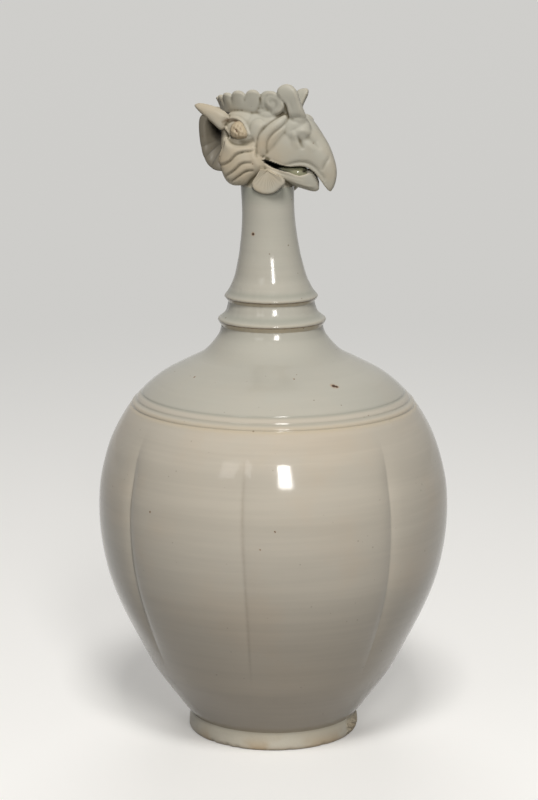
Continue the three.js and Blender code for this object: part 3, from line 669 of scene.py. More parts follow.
lobe_angles = np.unique(np.round(np.concatenate([
    np.linspace(0, 360, 240, endpoint=False),
    *[(furrow + np.linspace(-4, 4, 37)) % 360 for furrow in furrow_angles],
]), 4))
plain_angles = np.linspace(0, 360, 360, endpoint=False)


def seam_levels(low, high, step):
    """Heights between two seams, evenly spaced, with close rings at both ends so that the shading of two
    pieces that meet agrees."""
    even = np.linspace(low, high, max(3, int(round((high - low) / step)) + 1))
    ends = np.array([0.06, 0.18, 0.45])
    return np.unique(np.concatenate([even, low + ends, high - ends]))


def turned(rings, degrees, swell):
    """Points of a thrown wall: a row of (radius, height) pairs carried round the axis, less the swell
    at each angle and height, with the axis leaning as the neck does."""
    radius, height = rings[:, 0][:, None], rings[:, 1][:, None]
    radius = radius - swell(np.broadcast_to(degrees[None, :], (len(rings), len(degrees))), height)
    turn = np.radians(degrees)[None, :]
    x = radius * np.cos(turn) + lean_at(height)
    y = radius * np.sin(turn)
    z = np.broadcast_to(height, x.shape)
    return np.stack([x, y, z], axis=-1)


def still(degrees, height):
    """No swell."""
    return np.zeros_like(degrees)


def thrown_wall(outer, inner, degrees, swell):
    """A closed ring-shaped wall: the outer face upwards, then the inner face downwards."""
    return ring_wall(np.vstack([turned(outer, degrees, swell), turned(inner[::-1], degrees, still)]))


def ridge_marks(outer, columns, thin_at, pool_at, spread):
    """Where the glaze on a thrown wall runs thin or pools: the bend of its outline, which is its heading's
    change per millimetre, smoothed over a spread; thin where it turns out and pooled where it turns in."""
    along = np.concatenate([[0], np.cumsum(np.linalg.norm(np.diff(outer, axis=0), axis=1))])
    samples, reach = 800, 60
    even = np.linspace(0, along[-1], samples)
    line = np.stack([np.interp(even, along, outer[:, k]) for k in range(2)], axis=1)
    heading = np.unwrap(np.arctan2(*np.gradient(line, axis=0).T[::-1]))
    bend = np.gradient(heading, even)
    weights = bell(np.arange(-reach, reach + 1) * (even[1] - even[0]), spread)
    bend = np.convolve(np.pad(bend, reach, mode="edge"), weights / weights.sum(), mode="valid")
    bend = np.interp(along, even, bend)
    return np.repeat(bend / thin_at, columns), np.repeat(-bend / pool_at, columns)


def throw(name, outer, inner, material, degrees=plain_angles, swell=hand,
          thin_at=0.55, pool_at=0.5, spread=0.6, marks=None):
    """A thrown piece that replaces the node of its own name. Marks gives extra thin and pooled glaze,
    and where it is missing, from the points."""
    points, faces = thrown_wall(outer, inner, degrees, swell)
    mesh = mesh_of(name, points * MM, faces)
    thin, pooled = ridge_marks(outer, len(degrees), thin_at, pool_at, spread)
    rest = np.zeros(len(inner) * len(degrees))
    extra = marks(points) if marks is not None else (0.0, 0.0, None)
    paint(mesh, np.concatenate([thin, rest]) + extra[0], np.concatenate([pooled, rest]) + extra[1], extra[2])
    settle(name, mesh, [name], material)


def inside(height):
    """The inner radius of the body at a height: the outer one less the wall's thickness times the root of
    1 plus the slope squared, with the slope held below 3."""
    slope = np.gradient(body_outline[:, 0], body_outline[:, 1])
    lean = np.interp(height, body_outline[:, 1], slope)
    return body_radius(height) - body_wall * np.sqrt(1 + np.minimum(np.abs(lean), 3.0) ** 2)


def level_rings(radius, levels):
    """A wall's face as pairs of a radius and a height."""
    return np.stack([radius, levels], axis=1)


def lobed(degrees, height):
    """The swell of the furrowed belly."""
    return furrows(degrees, height) + hand(degrees, height)


def grooved(degrees, height):
    """The swell of the shoulder."""
    return grooves(np.broadcast_to(height, degrees.shape)) + hand(degrees, height)


def lobed_and_grooved(degrees, height):
    """The swell where the furrows end and the grooves begin."""
    return lobed(degrees, height) + grooves(np.broadcast_to(height, degrees.shape))


# The foot: a cut ring with a soft, uneven lower edge and one stretch that is chipped and knobbly
foot_recess = 7.0
foot_inside = foot_radius - 8.0
chipped_from, chipped_to = -14.0, 16.0
nicked_angles = np.array([-120.0, -112.5, -107.0, -99.0, -63.0, -38.0])
nick_depths = np.array([0.8, 0.5, 0.9, 0.6, 0.4, 0.5])
nick_width = 2.0


def chipped(degrees):
    """1 on the chipped stretch of the foot and 0 elsewhere, eased at both ends."""
    degrees = (degrees + 180) % 360 - 180
    begun = ease(degrees, chipped_from - 2, chipped_from + 2)
    return begun * (1 - ease(degrees, chipped_to - 3, chipped_to + 2))


def foot_shape(degrees, height):
    """Slow unevenness, nicks in the rest face's edge, and on the chipped stretch knobs and pits: a sum of
    waves along the angle and the height, folded so that the pits are sharper than the knobs."""
    nicks = (bell(turn_from(degrees, nicked_angles), nick_width) @ nick_depths) * ease(-height, -3.2, -0.3)
    waves = (np.sin(1.35 * degrees + 0.9 * height) + np.sin(0.83 * degrees - 1.3 * height + 2)
             + 0.7 * np.sin(2.3 * degrees + 2.1 * height + 1))
    knobs = 0.42 * np.abs(waves) - 0.55 + 0.7 * ease(-height, -4.0, -0.5)
    return 0.5 * hand(degrees, height) + nicks + chipped(degrees) * knobs * (1 - ease(height, 8.0, 10.6))


foot_angles = np.linspace(0, 360, 720, endpoint=False)
foot_outer = through([
    (foot_radius - 1.5, 0), (foot_radius - 0.45, 0.7), (foot_radius - 0.05, 2.2), (foot_radius - 0.3, 6),
    (foot_radius - foot_taper, foot_top),
], 60)
foot_inner = np.array([
    (foot_inside + 1, 0), (foot_inside, 1), (foot_inside - 0.2, foot_recess), (foot_inside - 0.4, foot_top),
])


def foot_marks(points):
    """Bare clay shows on the chipped stretch."""
    rough = chipped(np.degrees(np.arctan2(points[:, 1], points[:, 0])))
    return 0, 0, rough * (points[:, 2] < foot_top - 0.5)


throw("foot_ring", foot_outer, foot_inner, bare_clay, foot_angles, foot_shape,
      thin_at=0.35, marks=foot_marks)


def lower_shell():
    """The lower body as one skin: from the middle of the foot's recess out and up the wall, over the
    seam, down the inside and back to the axis."""
    centre_radius = 20
    floor_level = foot_recess + 8
    levels = seam_levels(foot_top, body_seam, 1.5)
    inner_levels = np.linspace(floor_level + 4, body_seam, 24)[::-1]
    under = np.array([
        (centre_radius, foot_recess), (foot_inside - 1.4, foot_recess), (foot_inside - 1.0, foot_top),
    ])
    outer = level_rings(body_radius(levels), levels)
    inner = level_rings(inside(inner_levels), inner_levels)
    floor = np.array([(inner[-1, 0] - 6, floor_level + 0.6), (centre_radius, floor_level)])
    faces = [(under, still), (outer, lobed), (inner, still), (floor, still)]
    return closed_grid(np.concatenate([turned(rings, lobe_angles, swell) for rings, swell in faces]))


def crease_line(points):
    """How near a point is to the bottom of the shallow furrow in front, where the glaze broke to a thin
    brown line, by the bell curve of its angle."""
    degrees = np.degrees(np.arctan2(points[:, 1], points[:, 0])) % 360
    away = degrees - front_furrow + furrow_wander(points[:, 2], front_furrow)
    return bell(away, 0.6) * (1 - ease(points[:, 2], furrow_top - 30, furrow_top - 8))


lower_points, lower_faces = lower_shell()
lower_heights = lower_points[:, 2]
lower_mesh = mesh_of("lower_body", lower_points * MM, lower_faces)
near_foot = 1 - ease(lower_heights, foot_top, foot_top + 2.2)
in_crease = 0.2 * crease_line(lower_points) * ease(lower_heights, furrow_bottom, furrow_bottom + 30)
paint(lower_mesh, 0.3 * near_foot, 0.15 * near_foot * (lower_heights > foot_top + 0.6), in_crease)
settle("lower_body", lower_mesh, ["lower_body"], body_glaze)

upper_levels = np.unique(np.concatenate([
    seam_levels(body_seam, lower_groove, 1.2), np.linspace(lower_groove - 4, lower_groove, 22),
]))
upper_inner_levels = np.linspace(body_seam, lower_groove, 18)


def groove_marks(points):
    """Glaze pools green in the grooves and runs thin on the bead between them and along the crease."""
    height = points[:, 2]
    pooled = bell(height[:, None] - groove_levels, 0.8) @ np.array([0.1, 0.34, 0.36])
    thin = 0.25 * bell(height - bead_level, 0.8) + 0.55 * bell(height - groove_levels[0], 1.5)
    return thin, pooled, 0.2 * crease_line(points)


throw("upper_body", level_rings(body_radius(upper_levels), upper_levels),
      level_rings(inside(upper_inner_levels), upper_inner_levels), body_glaze, lobe_angles,
      lobed_and_grooved, thin_at=9.0, pool_at=9.0, marks=groove_marks)

# Close rings follow the grooves
shoulder_levels = np.unique(np.concatenate([
    seam_levels(lower_groove, neck_root, 0.7), np.linspace(lower_groove, groove_levels[-1] + 3, 60),
]))
shoulder_inner_levels = np.linspace(lower_groove, neck_root, 24)
throw("shoulder", level_rings(body_radius(shoulder_levels), shoulder_levels),
      level_rings(np.maximum(inside(shoulder_inner_levels), 30), shoulder_inner_levels), shoulder_glaze,
      swell=grooved, thin_at=9.0, pool_at=9.0, marks=groove_marks)

base_levels = seam_levels(neck_root, collar_seat, 0.6)
throw("neck_base", level_rings(body_radius(base_levels), base_levels),
      np.array([(35.0, neck_root), (27.6, 236), (24.0, collar_seat)]), shoulder_glaze,
      thin_at=1.5, pool_at=1.5)


# The collars: each flange is a soft lip that waves a little, and under its edge the glaze breaks to a
# torn brown line
lower_lip, upper_lip = 251.9, 265.7
waist_bore, neck_bore = 19.9, 18.2


def lip_shape(degrees, height):
    """Slow waves of the lip, with faint nicks at the peaks of a seventh and an eleventh wave."""
    turn = np.radians(degrees)
    nick = 0.12 * np.maximum(0, np.sin(7 * turn + 1.3)) ** 6 + 0.1 * np.maximum(0, np.sin(11 * turn)) ** 8
    return 0.6 * hand(degrees, height) + nick


lower_flange = through([
    (30.0, collar_seat), (30.4, 248.8), (31.2, 250.0), (31.8, 251.1), (32.0, lower_lip), (31.5, 252.8),
    (30.4, 253.6), (28.8, 254.9), (27.6, 256.1), (26.8, 257.5), (26.2, 259.4), (25.7, 261.3),
    (25.5, waist_level),
], 150)
upper_flange = through([
    (25.5, waist_level), (25.8, 263.0), (26.6, 264.0), (27.3, 264.9), (27.6, upper_lip), (27.2, 266.6),
    (26.3, 267.7), (25.0, 269.5), (23.6, neck_foot),
], 120)


def lip_marks(seam, lip):
    """Glaze pools on the slope above each lip, breaks to a torn brown line just below the lip's edge and
    stays thin and pinkish on the lip's underside."""
    def marks(points):
        height = points[:, 2]
        under = ease(height, seam - 0.2, seam + 0.4) * (1 - ease(height, lip - 1.3, lip - 0.7))
        torn = bell(height - lip + 1.0, 0.34)
        return 0.7 * under, 0.4 * bell(height - lip - 3.0, 1.6), 0.95 * torn
    return marks


for collar, flange, bore, marks in [
    ("lower_collar", lower_flange, [(24.0, collar_seat), (waist_bore, waist_level)],
     lip_marks(collar_seat, lower_lip)),
    ("upper_collar", upper_flange, [(waist_bore, waist_level), (neck_bore, neck_foot)],
     lip_marks(waist_level, upper_lip)),
]:
    throw(collar, flange, np.array(bore), shoulder_glaze, swell=lip_shape,
          thin_at=3.0, pool_at=6.0, spread=0.35, marks=marks)


def neck_pool_and_painted_shade(points):
    """The glaze gathers at the top of the neck, under the head, and the darker band is also painted shade of
    the head above it.
    """
    return 0, 0.55 * ease(points[:, 2], neck_top - 13, neck_top - 1), None


neck_levels = seam_levels(neck_foot, neck_top, 0.7)
throw("neck", level_rings(np.interp(neck_levels, neck_outline[:, 1], neck_outline[:, 0]), neck_levels),
      np.array([(neck_bore, neck_foot), (10.8, 307), (9.3, neck_top)]), shoulder_glaze,
      thin_at=2.0, pool_at=2.0, marks=neck_pool_and_painted_shade)


# The modelled head. Its sizes are millimetres from the middle of the neck's top. It is modelled upright
# and then tipped to its left: each point sinks by the roll times its Y. Side features keep the heights
# that the bird's right side shows once it is tipped.

voxel = 0.475
head_roll = 0.148


def upright(points):
    """Points of the tipped head as they stand before it is tipped."""
    return points + points[..., 1:2] * np.array([0, 0, head_roll])


def tipped(points):
    """Points of the upright head once it is tipped."""
    return points - points[..., 1:2] * np.array([0, 0, head_roll])


def seen_height(points):
    """The height at which a point shows on the bird's right side once the head is tipped."""
    return points[:, 2] + head_roll * np.abs(points[:, 1])


def signed_power(value, power):
    """A power of a value's size, with the value's sign."""
    return np.sign(value) * np.abs(value) ** power


def rails(stations, steps):
    """Stations (crown x, crown z, base x, base z, half width) along a body, made smooth."""
    return through([(*crown, *base, width) for crown, base, width in stations], steps)


def round_body(stations, around=72, power=0.86):
    """A body between an upper and a lower rail in the middle plane: each ring is a rounded oval with the
    rails' distance as its height and the half width as its reach to the sides. A power below 1 of its
    sine and cosine makes it boxier."""
    line = rails(stations, 60)
    turn = round_turn(around)[None, :]
    middle, half = (line[:, 0:2] + line[:, 2:4]) / 2, (line[:, 0:2] - line[:, 2:4]) / 2
    up = signed_power(np.cos(turn), power)
    x, z = (middle[:, k:k + 1] + half[:, k:k + 1] * up for k in range(2))
    y = line[:, 4:5] * signed_power(np.sin(turn), power)
    return closed_grid(np.stack([x, y, z], axis=-1))


def arched_body(stations, thickness, hollow, power=0.9):
    """A beak half, like half a pipe: an outer arch from rim to rim over the crown rail, and back by an
    inner arch of which the rise is the hollow's share and which is narrower by the thickness. An arch
    goes across by the cosine to a power and up by the sine to that power."""
    line = rails(stations, 70)
    crown, base, width = line[:, 0:2], line[:, 2:4], line[:, 4:5]
    turn = np.linspace(0, np.pi, 44)[None, :]
    inner_width = np.maximum(0.3 * width, width - thickness)
    along = crown - base

    def arch(reach, rise):
        """The points of one arch: its reach to the sides, and the share of the way up to the crown."""
        across = -reach * signed_power(np.cos(turn), power)
        lift = rise * np.sin(turn) ** power
        x, z = (base[:, k:k + 1] + along[:, k:k + 1] * lift for k in range(2))
        return np.stack([x, across, z], axis=-1)

    return closed_grid(np.concatenate([arch(width, 1.0), arch(inner_width, hollow)[:, ::-1]], axis=1))


def pillar(rings, around=72):
    """An upright body through level rings (x, z, reach along X, reach along Y)."""
    line = through(rings, 30)
    turn = round_turn(around)[None, :]
    x = line[:, :1] + line[:, 2:3] * np.cos(turn)
    y = line[:, 3:4] * np.sin(turn)
    z = np.broadcast_to(line[:, 1:2], x.shape)
    return closed_grid(upright(np.stack([x, y, z], axis=-1)))


def ball(centre, reach):
    """An ellipsoid: its middle plus its reach times the unit sphere's sines and cosines."""
    down = np.linspace(0.02, np.pi - 0.02, 24)[:, None]
    turn = round_turn(36)[None, :]
    shape = [np.sin(down) * np.cos(turn), np.sin(down) * np.sin(turn), np.cos(down) + 0 * turn]
    return closed_grid(np.array(centre) + np.stack(shape, axis=-1) * np.array(reach))


def between_sheets(x, z, front, back):
    """A closed skin on the bird's right: two sheets that stand off the middle plane, joined at their
    edges."""
    sheets = [np.stack([x, -np.broadcast_to(side, x.shape), z], axis=-1) for side in (front, back)]
    return closed_grid(upright(np.concatenate([sheets[0], sheets[1][:, ::-1]], axis=1)))


def lobe(outline, middle, depth, thickness, dome, edge, lean=(0.0, 0.0), rows=16, relief=None):
    """A flat lobe of clay on the bird's right. Its outline is a closed smooth curve through (x, z) points;
    a point of either face lies a share s of the way from the middle to the outline. The faces stand
    half the thickness times (1 - s^5) to the power edge off the middle sheet, which bulges outwards by
    the dome times (1 - s squared) and leans outwards along X and Z."""
    rim = through(outline, 96, closed=True)
    middle = np.array(middle, float)
    share = np.sin(np.linspace(0.02, 0.5 * np.pi, rows))[:, None, None]
    flat = middle + share * (rim - middle)
    x, z = flat[..., 0], flat[..., 1]
    s = share[..., 0] + 0 * x
    half = 0.5 * thickness * (1 - s ** 5) ** edge
    sheet = depth + dome * (1 - s ** 2) + lean[0] * (x - middle[0]) + lean[1] * (z - middle[1])
    front = sheet + half + (relief(x, z, s) if relief else 0)
    faces = [np.stack([x, -side, z], axis=-1) for side in (front, sheet - half)]
    return closed_grid(upright(np.concatenate([faces[0], faces[1][:-1][::-1]])))


def fan_grid(rim, hinge, across, out):
    """The grid of a fan: its points lie the share u along a smooth rim curve and the share v of the way
    from the hinge to the rim. Returns u, v and the places in the side view."""
    edge = through(rim, across)
    u = np.linspace(0, 1, across)[:, None]
    v = (fan_root + (1 - fan_root) * np.sin(np.linspace(0, np.pi / 2, out)))[None, :]
    x, z = (hinge[k] + v * (edge[:, k:k + 1] - hinge[k]) for k in range(2))
    return u, v, x, z


def near_curve(x, z, points, taper=0.35):
    """For each point of a side view the distance to a smooth curve, how strong a mark along the curve is
    there, which is the sine of pi times the curve's share to the power taper, and the side of the curve
    that the point is on (positive to its left)."""
    line = through(points, 36)
    start, along = line[:-1], np.diff(line, axis=0)
    squared = np.maximum((along ** 2).sum(axis=1), 1e-9)
    dx = x[:, None] - start[:, 0]
    dz = z[:, None] - start[:, 1]
    share = np.clip((dx * along[:, 0] + dz * along[:, 1]) / squared, 0, 1)
    gap = np.hypot(dx - share * along[:, 0], dz - share * along[:, 1])
    nearest = gap.argmin(axis=1)
    row = np.arange(len(x))
    side = np.sign(along[nearest, 0] * dz[row, nearest] - along[nearest, 1] * dx[row, nearest])
    reached = np.clip((nearest + share[row, nearest]) / len(start), 0, 1)
    return gap[row, nearest], np.sin(np.pi * reached) ** taper, side


def stroke(x, z, points, height, width, taper=0.35):
    """A ridge, or with a negative height a groove, along a curve: bell shaped across it, and fading in
    and out at its ends."""
    gap, fade, _ = near_curve(x.ravel(), z.ravel(), points, taper)
    return (height * fade * bell(gap, width)).reshape(x.shape)


def overlap(x, z, points, height, reach, cut):
    """The edge of a feather that lies over the next: to the left of the curve the surface stands up by a
    height that sinks back exponentially over a reach, and along the curve it is cut in, bell shaped and
    a millimetre wide."""
    gap, fade, side = near_curve(x, z, points)
    raised = np.where(side > 0, np.exp(-gap / reach) * (1 - np.exp(-gap / 0.45)), 0.0)
    return fade * (height * raised - cut * bell(gap, 1.0))


def fused(parts, size, rounds):
    """Parts of clay pressed together: their joined outer skin on a fine cubic grid, rubbed smooth so
    that the joins fill like glaze. Returns a mesh."""
    points, faces = joined(parts)
    rough = bpy.data.objects.new("pressed parts", mesh_of("pressed parts", points, faces))
    bpy.context.scene.collection.objects.link(rough)
    remesh = rough.modifiers.new("skin", "REMESH")
    remesh.mode = "VOXEL"
    remesh.voxel_size = size
    evaluated = rough.evaluated_get(bpy.context.evaluated_depsgraph_get())
    mesh = bpy.data.meshes.new_from_object(evaluated)
    bpy.data.objects.remove(rough)
    points, edges, _ = arrays_of(mesh)
    move_points(mesh, softened(points, edges, rounds, keep=0.35))
    return mesh


def bored(mesh, cutter):
    """The mesh less a closed cutter, cut exactly."""
    whole = bpy.data.objects.new("whole", mesh)
    tool = bpy.data.objects.new("bore", mesh_of("bore", *cutter))
    for item in (whole, tool):
        bpy.context.scene.collection.objects.link(item)
    cut = whole.modifiers.new("bore", "BOOLEAN")
    cut.operation = "DIFFERENCE"
    cut.solver = "EXACT"
    cut.object = tool
    evaluated = whole.evaluated_get(bpy.context.evaluated_depsgraph_get())
    result = bpy.data.meshes.new_from_object(evaluated)
    for item in (whole, tool):
        bpy.data.objects.remove(item)
    return result


# Rails of the head's main bodies: crest (x, z), base (x, z), half width
cranium_rails = [
    ((-27.2, 24), (-27.2, 19), 3), ((-25.7, 32), (-25.2, 11), 9.5), ((-21.2, 39), (-21.2, 5), 13.5),
    ((-13.2, 44.6), (-14.2, 1.4), 16), ((-4.2, 45.6), (-8.2, 1), 17.2), ((5.8, 45.4), (-3.2, 5), 17),
    ((14.8, 44.2), (3.2, 11.5), 15.6), ((19.8, 42), (8, 16), 13),
]
upper_beak_rails = [
    ((10.2, 45), (-4.2, 16.6), 15.2), ((21.4, 42.8), (5.5, 13.4), 14.8), ((27.8, 38.6), (12.6, 11.0), 13),
    ((33.2, 31.2), (18.6, 11.0), 10.8), ((37.3, 24.6), (24.2, 11.3), 8.8), ((40.2, 17.6), (29.2, 8.9), 6.8),
    ((41.9, 10.9), (32.9, 4.4), 4.9), ((41.8, 5.4), (35.6, 0.3), 3.3), ((40.4, 0.4), (37.4, -2.0), 1.9),
    ((38.9, -2.2), (38.2, -2.7), 0.8),
]
lower_beak_rails = [
    ((4.0, 1.5), (1.6, 13.6), 15.0), ((8, 1.0), (5.8, 10.4), 14.4), ((13, 0.8), (10.5, 9.2), 13.2),
    ((19.2, -0.7), (17, 7.4), 11.0), ((24, -2.0), (22.3, 6.0), 8.8), ((27.2, -2.7), (26.2, 7.6), 6.6),
    ((29.6, -2.7), (28.8, 7.6), 4.2), ((31.4, -1.5), (31.2, 3.2), 1.9),
]
throat_rings = [(0, -1.0, 15.4, 15.4), (0.2, 4, 15.5, 15.2), (0.4, 10, 15.2, 14.4), (0, 20, 14, 13)]
slit_rails = [
    ((1.4, 14.6), (1.4, 13.6), 17), ((4.4, 14.2), (4.4, 11.5), 17.5), ((8.6, 12.9), (8.6, 9.5), 17.5),
    ((13, 11.5), (13, 8.4), 17), ((17.0, 10.9), (17.0, 7.6), 16),
]

# Side views of the right side's shapes, as they show once the head is tipped
cheek_pad = [
    (-22.1, 28.5), (-22.9, 25.4), (-24.0, 21.1), (-25.2, 17.0), (-24.8, 12.5), (-23.7, 9.2), (-22.3, 5.8),
    (-19.8, 2.4), (-16.4, 0.9), (-12.5, 0.9), (-9.3, 1.7), (-6.1, 4.1), (-3.6, 6.4), (-0.7, 8.8),
    (2.3, 11.4), (2.6, 15.0), (0.6, 20.0), (-3.6, 24.6), (-9.6, 27.2), (-16.4, 29.6),
]
ear_outline = [
    (-39.6, 47.3), (-37.8, 48.5), (-35.0, 48.6), (-31.6, 48.0), (-27.0, 46.7), (-23.0, 44.9),
    (-20.2, 42.9), (-19.0, 40.8), (-20.2, 38.0), (-21.4, 35.4), (-22.8, 33.0), (-24.9, 33.4),
    (-27.6, 35.7), (-29.7, 37.5), (-32.9, 40.3), (-35.9, 42.7), (-38.2, 45.1),
]
near_horn = [
    (10.0, 56.0), (11.4, 58.8), (14.8, 60.6), (18.4, 60.2), (20.9, 57.9), (22.2, 55.4), (23.1, 52.3),
    (24.1, 48.7), (25.4, 45.0), (26.3, 41.6), (25.4, 37.0), (20.8, 35.2), (17.0, 38.0), (16.1, 42.9),
    (15.6, 46.0), (14.8, 49.0), (13.2, 51.4), (11.3, 53.5),
]
far_horn = [
    (13.6, 56.6), (15.2, 59.0), (18.0, 60.0), (21.2, 59.6), (21.6, 57.6), (19.9, 53.6), (17.9, 48.6),
    (16.8, 43.0), (16.0, 37.0), (11.0, 36.0), (10.6, 43.0), (11.6, 50.0),
]
brow_bulge = [
    (-7.0, 35.5), (-3.0, 40.6), (3.0, 39.6), (3.6, 33.0), (0.0, 25.6), (-5.4, 26.6),
]
curl_outline = [
    (-0.6, 50.4), (0.6, 54.0), (4.4, 56.3), (9.6, 55.4), (13.4, 52.0), (14.5, 48.2), (12.8, 44.4),
    (9.0, 42.0), (4.4, 42.2), (0.4, 45.4),
]
curl_middle = (6.8, 49.4)
eye_outline = [
    (-17.8, 33.8), (-16.4, 36.9), (-13.9, 38.4), (-11.0, 38.1), (-8.7, 35.6), (-6.7, 31.7), (-7.2, 29.6),
    (-10.0, 28.5), (-13.9, 28.5), (-17.0, 30.0),
]

# The comb: petals stand round the filling hole, highest a little in front of it and lower towards the
# back. Each is a dished tongue of clay with a thick round rim.
comb_middle = -7.6
comb_reach = (18.0, 12.2)
comb_peak = 4.1  # in front of the comb's middle
comb_back = 19.8
comb_foot = 34.0
comb_flare = 3.0
comb_crest = 55.0
crest_fall = 0.0085
petal_rounding = 0.85
notch_depth = 1.5
petal_thickness = 2.6
comb_notches = np.array([14, 41, 69, 95, 117.5, 137, 154, 170.0])
comb_edges = np.concatenate([-comb_notches[::-1], comb_notches, [360 - comb_notches[-1]]])


def comb_skin():
    """The petals' wall, round an oval by the first parameter and round its section by the second. Across
    a petal, with t from -1 to 1, a is the root of 1 - t squared. The petal's top is its crest less the
    rounding times half its width times (1 - a), and the crest falls with the square of the distance
    along X. Towards the top the wall sinks in by the notch's depth times (1 - a), so each petal rounds
    like a fingertip, and the inner face is dished by a share of a."""
    across = 22
    turn = np.concatenate([
        start + (end - start) * (0.5 - 0.5 * np.cos(np.pi * (np.arange(across) + 0.5) / across))
        for start, end in zip(comb_edges[:-1], comb_edges[1:])
    ])
    petal = np.clip(np.searchsorted(comb_edges, turn, side="right") - 1, 0, len(comb_edges) - 2)
    start, end = comb_edges[petal], comb_edges[petal + 1]
    away = np.sqrt(np.clip(1 - (2 * (turn - start) / (end - start) - 1) ** 2, 0, 1))[:, None]
    middle, radians = np.radians((start + end) / 2), np.radians(turn)
    along = np.where(np.cos(radians) < 0, comb_back, comb_reach[0]) * np.cos(radians)
    reach = np.hypot(along, comb_reach[1] * np.sin(radians))[:, None]
    flare = comb_flare * (1 + 0.3 * ease(-np.cos(radians), 0, 1))[:, None]
    wide = np.hypot(comb_reach[0] * np.sin(middle), comb_reach[1] * np.cos(middle)) + comb_flare
    half_petal = 0.5 * np.radians(end - start) * wide
    peak_away = comb_reach[0] * np.cos(middle) - comb_peak
    crest = comb_crest - crest_fall * peak_away ** 2
    top = crest[:, None] - petal_rounding * half_petal[:, None] * (1 - away)
    section = np.linspace(0, 1, 44, endpoint=False)[None, :]
    outer = section < 0.5
    up = np.sin(0.5 * np.pi * np.where(outer, 2 * section, 2 - 2 * section))
    height = comb_foot + (top - comb_foot) * up
    near_top = ease(height, crest[:, None] - 9.5, crest[:, None] - 2.5)
    sunk = notch_depth * (1 - away) * near_top
    thick = petal_thickness + 0.7 * bell(up - 0.93, 0.06) - 0.9 * (1 - away) * near_top
    round_over = np.sqrt(np.clip(1 - np.clip((up - 0.9) / 0.1, 0, 1) ** 2.2, 0.0, 1))
    face = np.where(outer, 0.5, -0.5) * thick * round_over
    dish = np.where(outer, 0.0, 0.6) * away * near_top
    radius = reach + flare * ease(height, 40, 53) - sunk - dish + face - petal_thickness / 2
    x = comb_middle + radius * along[:, None] / reach
    y = radius * comb_reach[1] * np.sin(radians)[:, None] / reach
    return ring_wall(np.stack([x, y, height], axis=-1))


def curl_relief(x, z, s):
    """A rolled rim round a curl's face, bell shaped across, and inside it a shallow spiral: the cosine of
    a turn and a half per radius plus the angle. The face is hollowed by 1 - s squared, and its lower
    left part sinks flush with the comb."""
    turn = np.arctan2(z - curl_middle[1], x - curl_middle[0]) / (2 * np.pi)
    rolled = 0.5 * bell(s - 0.84, 0.1)
    winding = 0.22 * np.cos(2 * np.pi * (1.5 * s + turn)) * ease(s, 0.1, 0.3) * (1 - ease(s, 0.62, 0.8))
    flush = 1.3 * ease(-(0.6 * (x - curl_middle[0]) + 0.8 * (z - curl_middle[1])), 1.5, 7)
    return rolled + winding - 0.5 * (1 - s ** 2) - flush


def horn_relief(x, z, s):
    """A horn's face is a little hollow, has a ridge near its front edge and melts into the brow below."""
    ridge = stroke(x, z, [(20.2, 58.6), (21.6, 54.6), (23.2, 49.6), (24.4, 45.0)], 0.7, 1.1)
    return ridge - 0.5 * bell(s, 0.5) - 3.4 * ease(-z, -45, -35)


# The eyelid's fold, and the line inside it where the glaze drew back and left brown clay
lid_line = [
    (-19.6, 39.4), (-16.1, 40.1), (-12.9, 39.5), (-10.3, 37.7), (-7.8, 34.1), (-5.9, 30.4),
]
lid_brown = [
    (-23.0, 37.6), (-20.2, 38.8), (-17.5, 39.2), (-14.3, 38.2), (-11.8, 35.8), (-9.9, 32.8), (-8.2, 29.8),
]


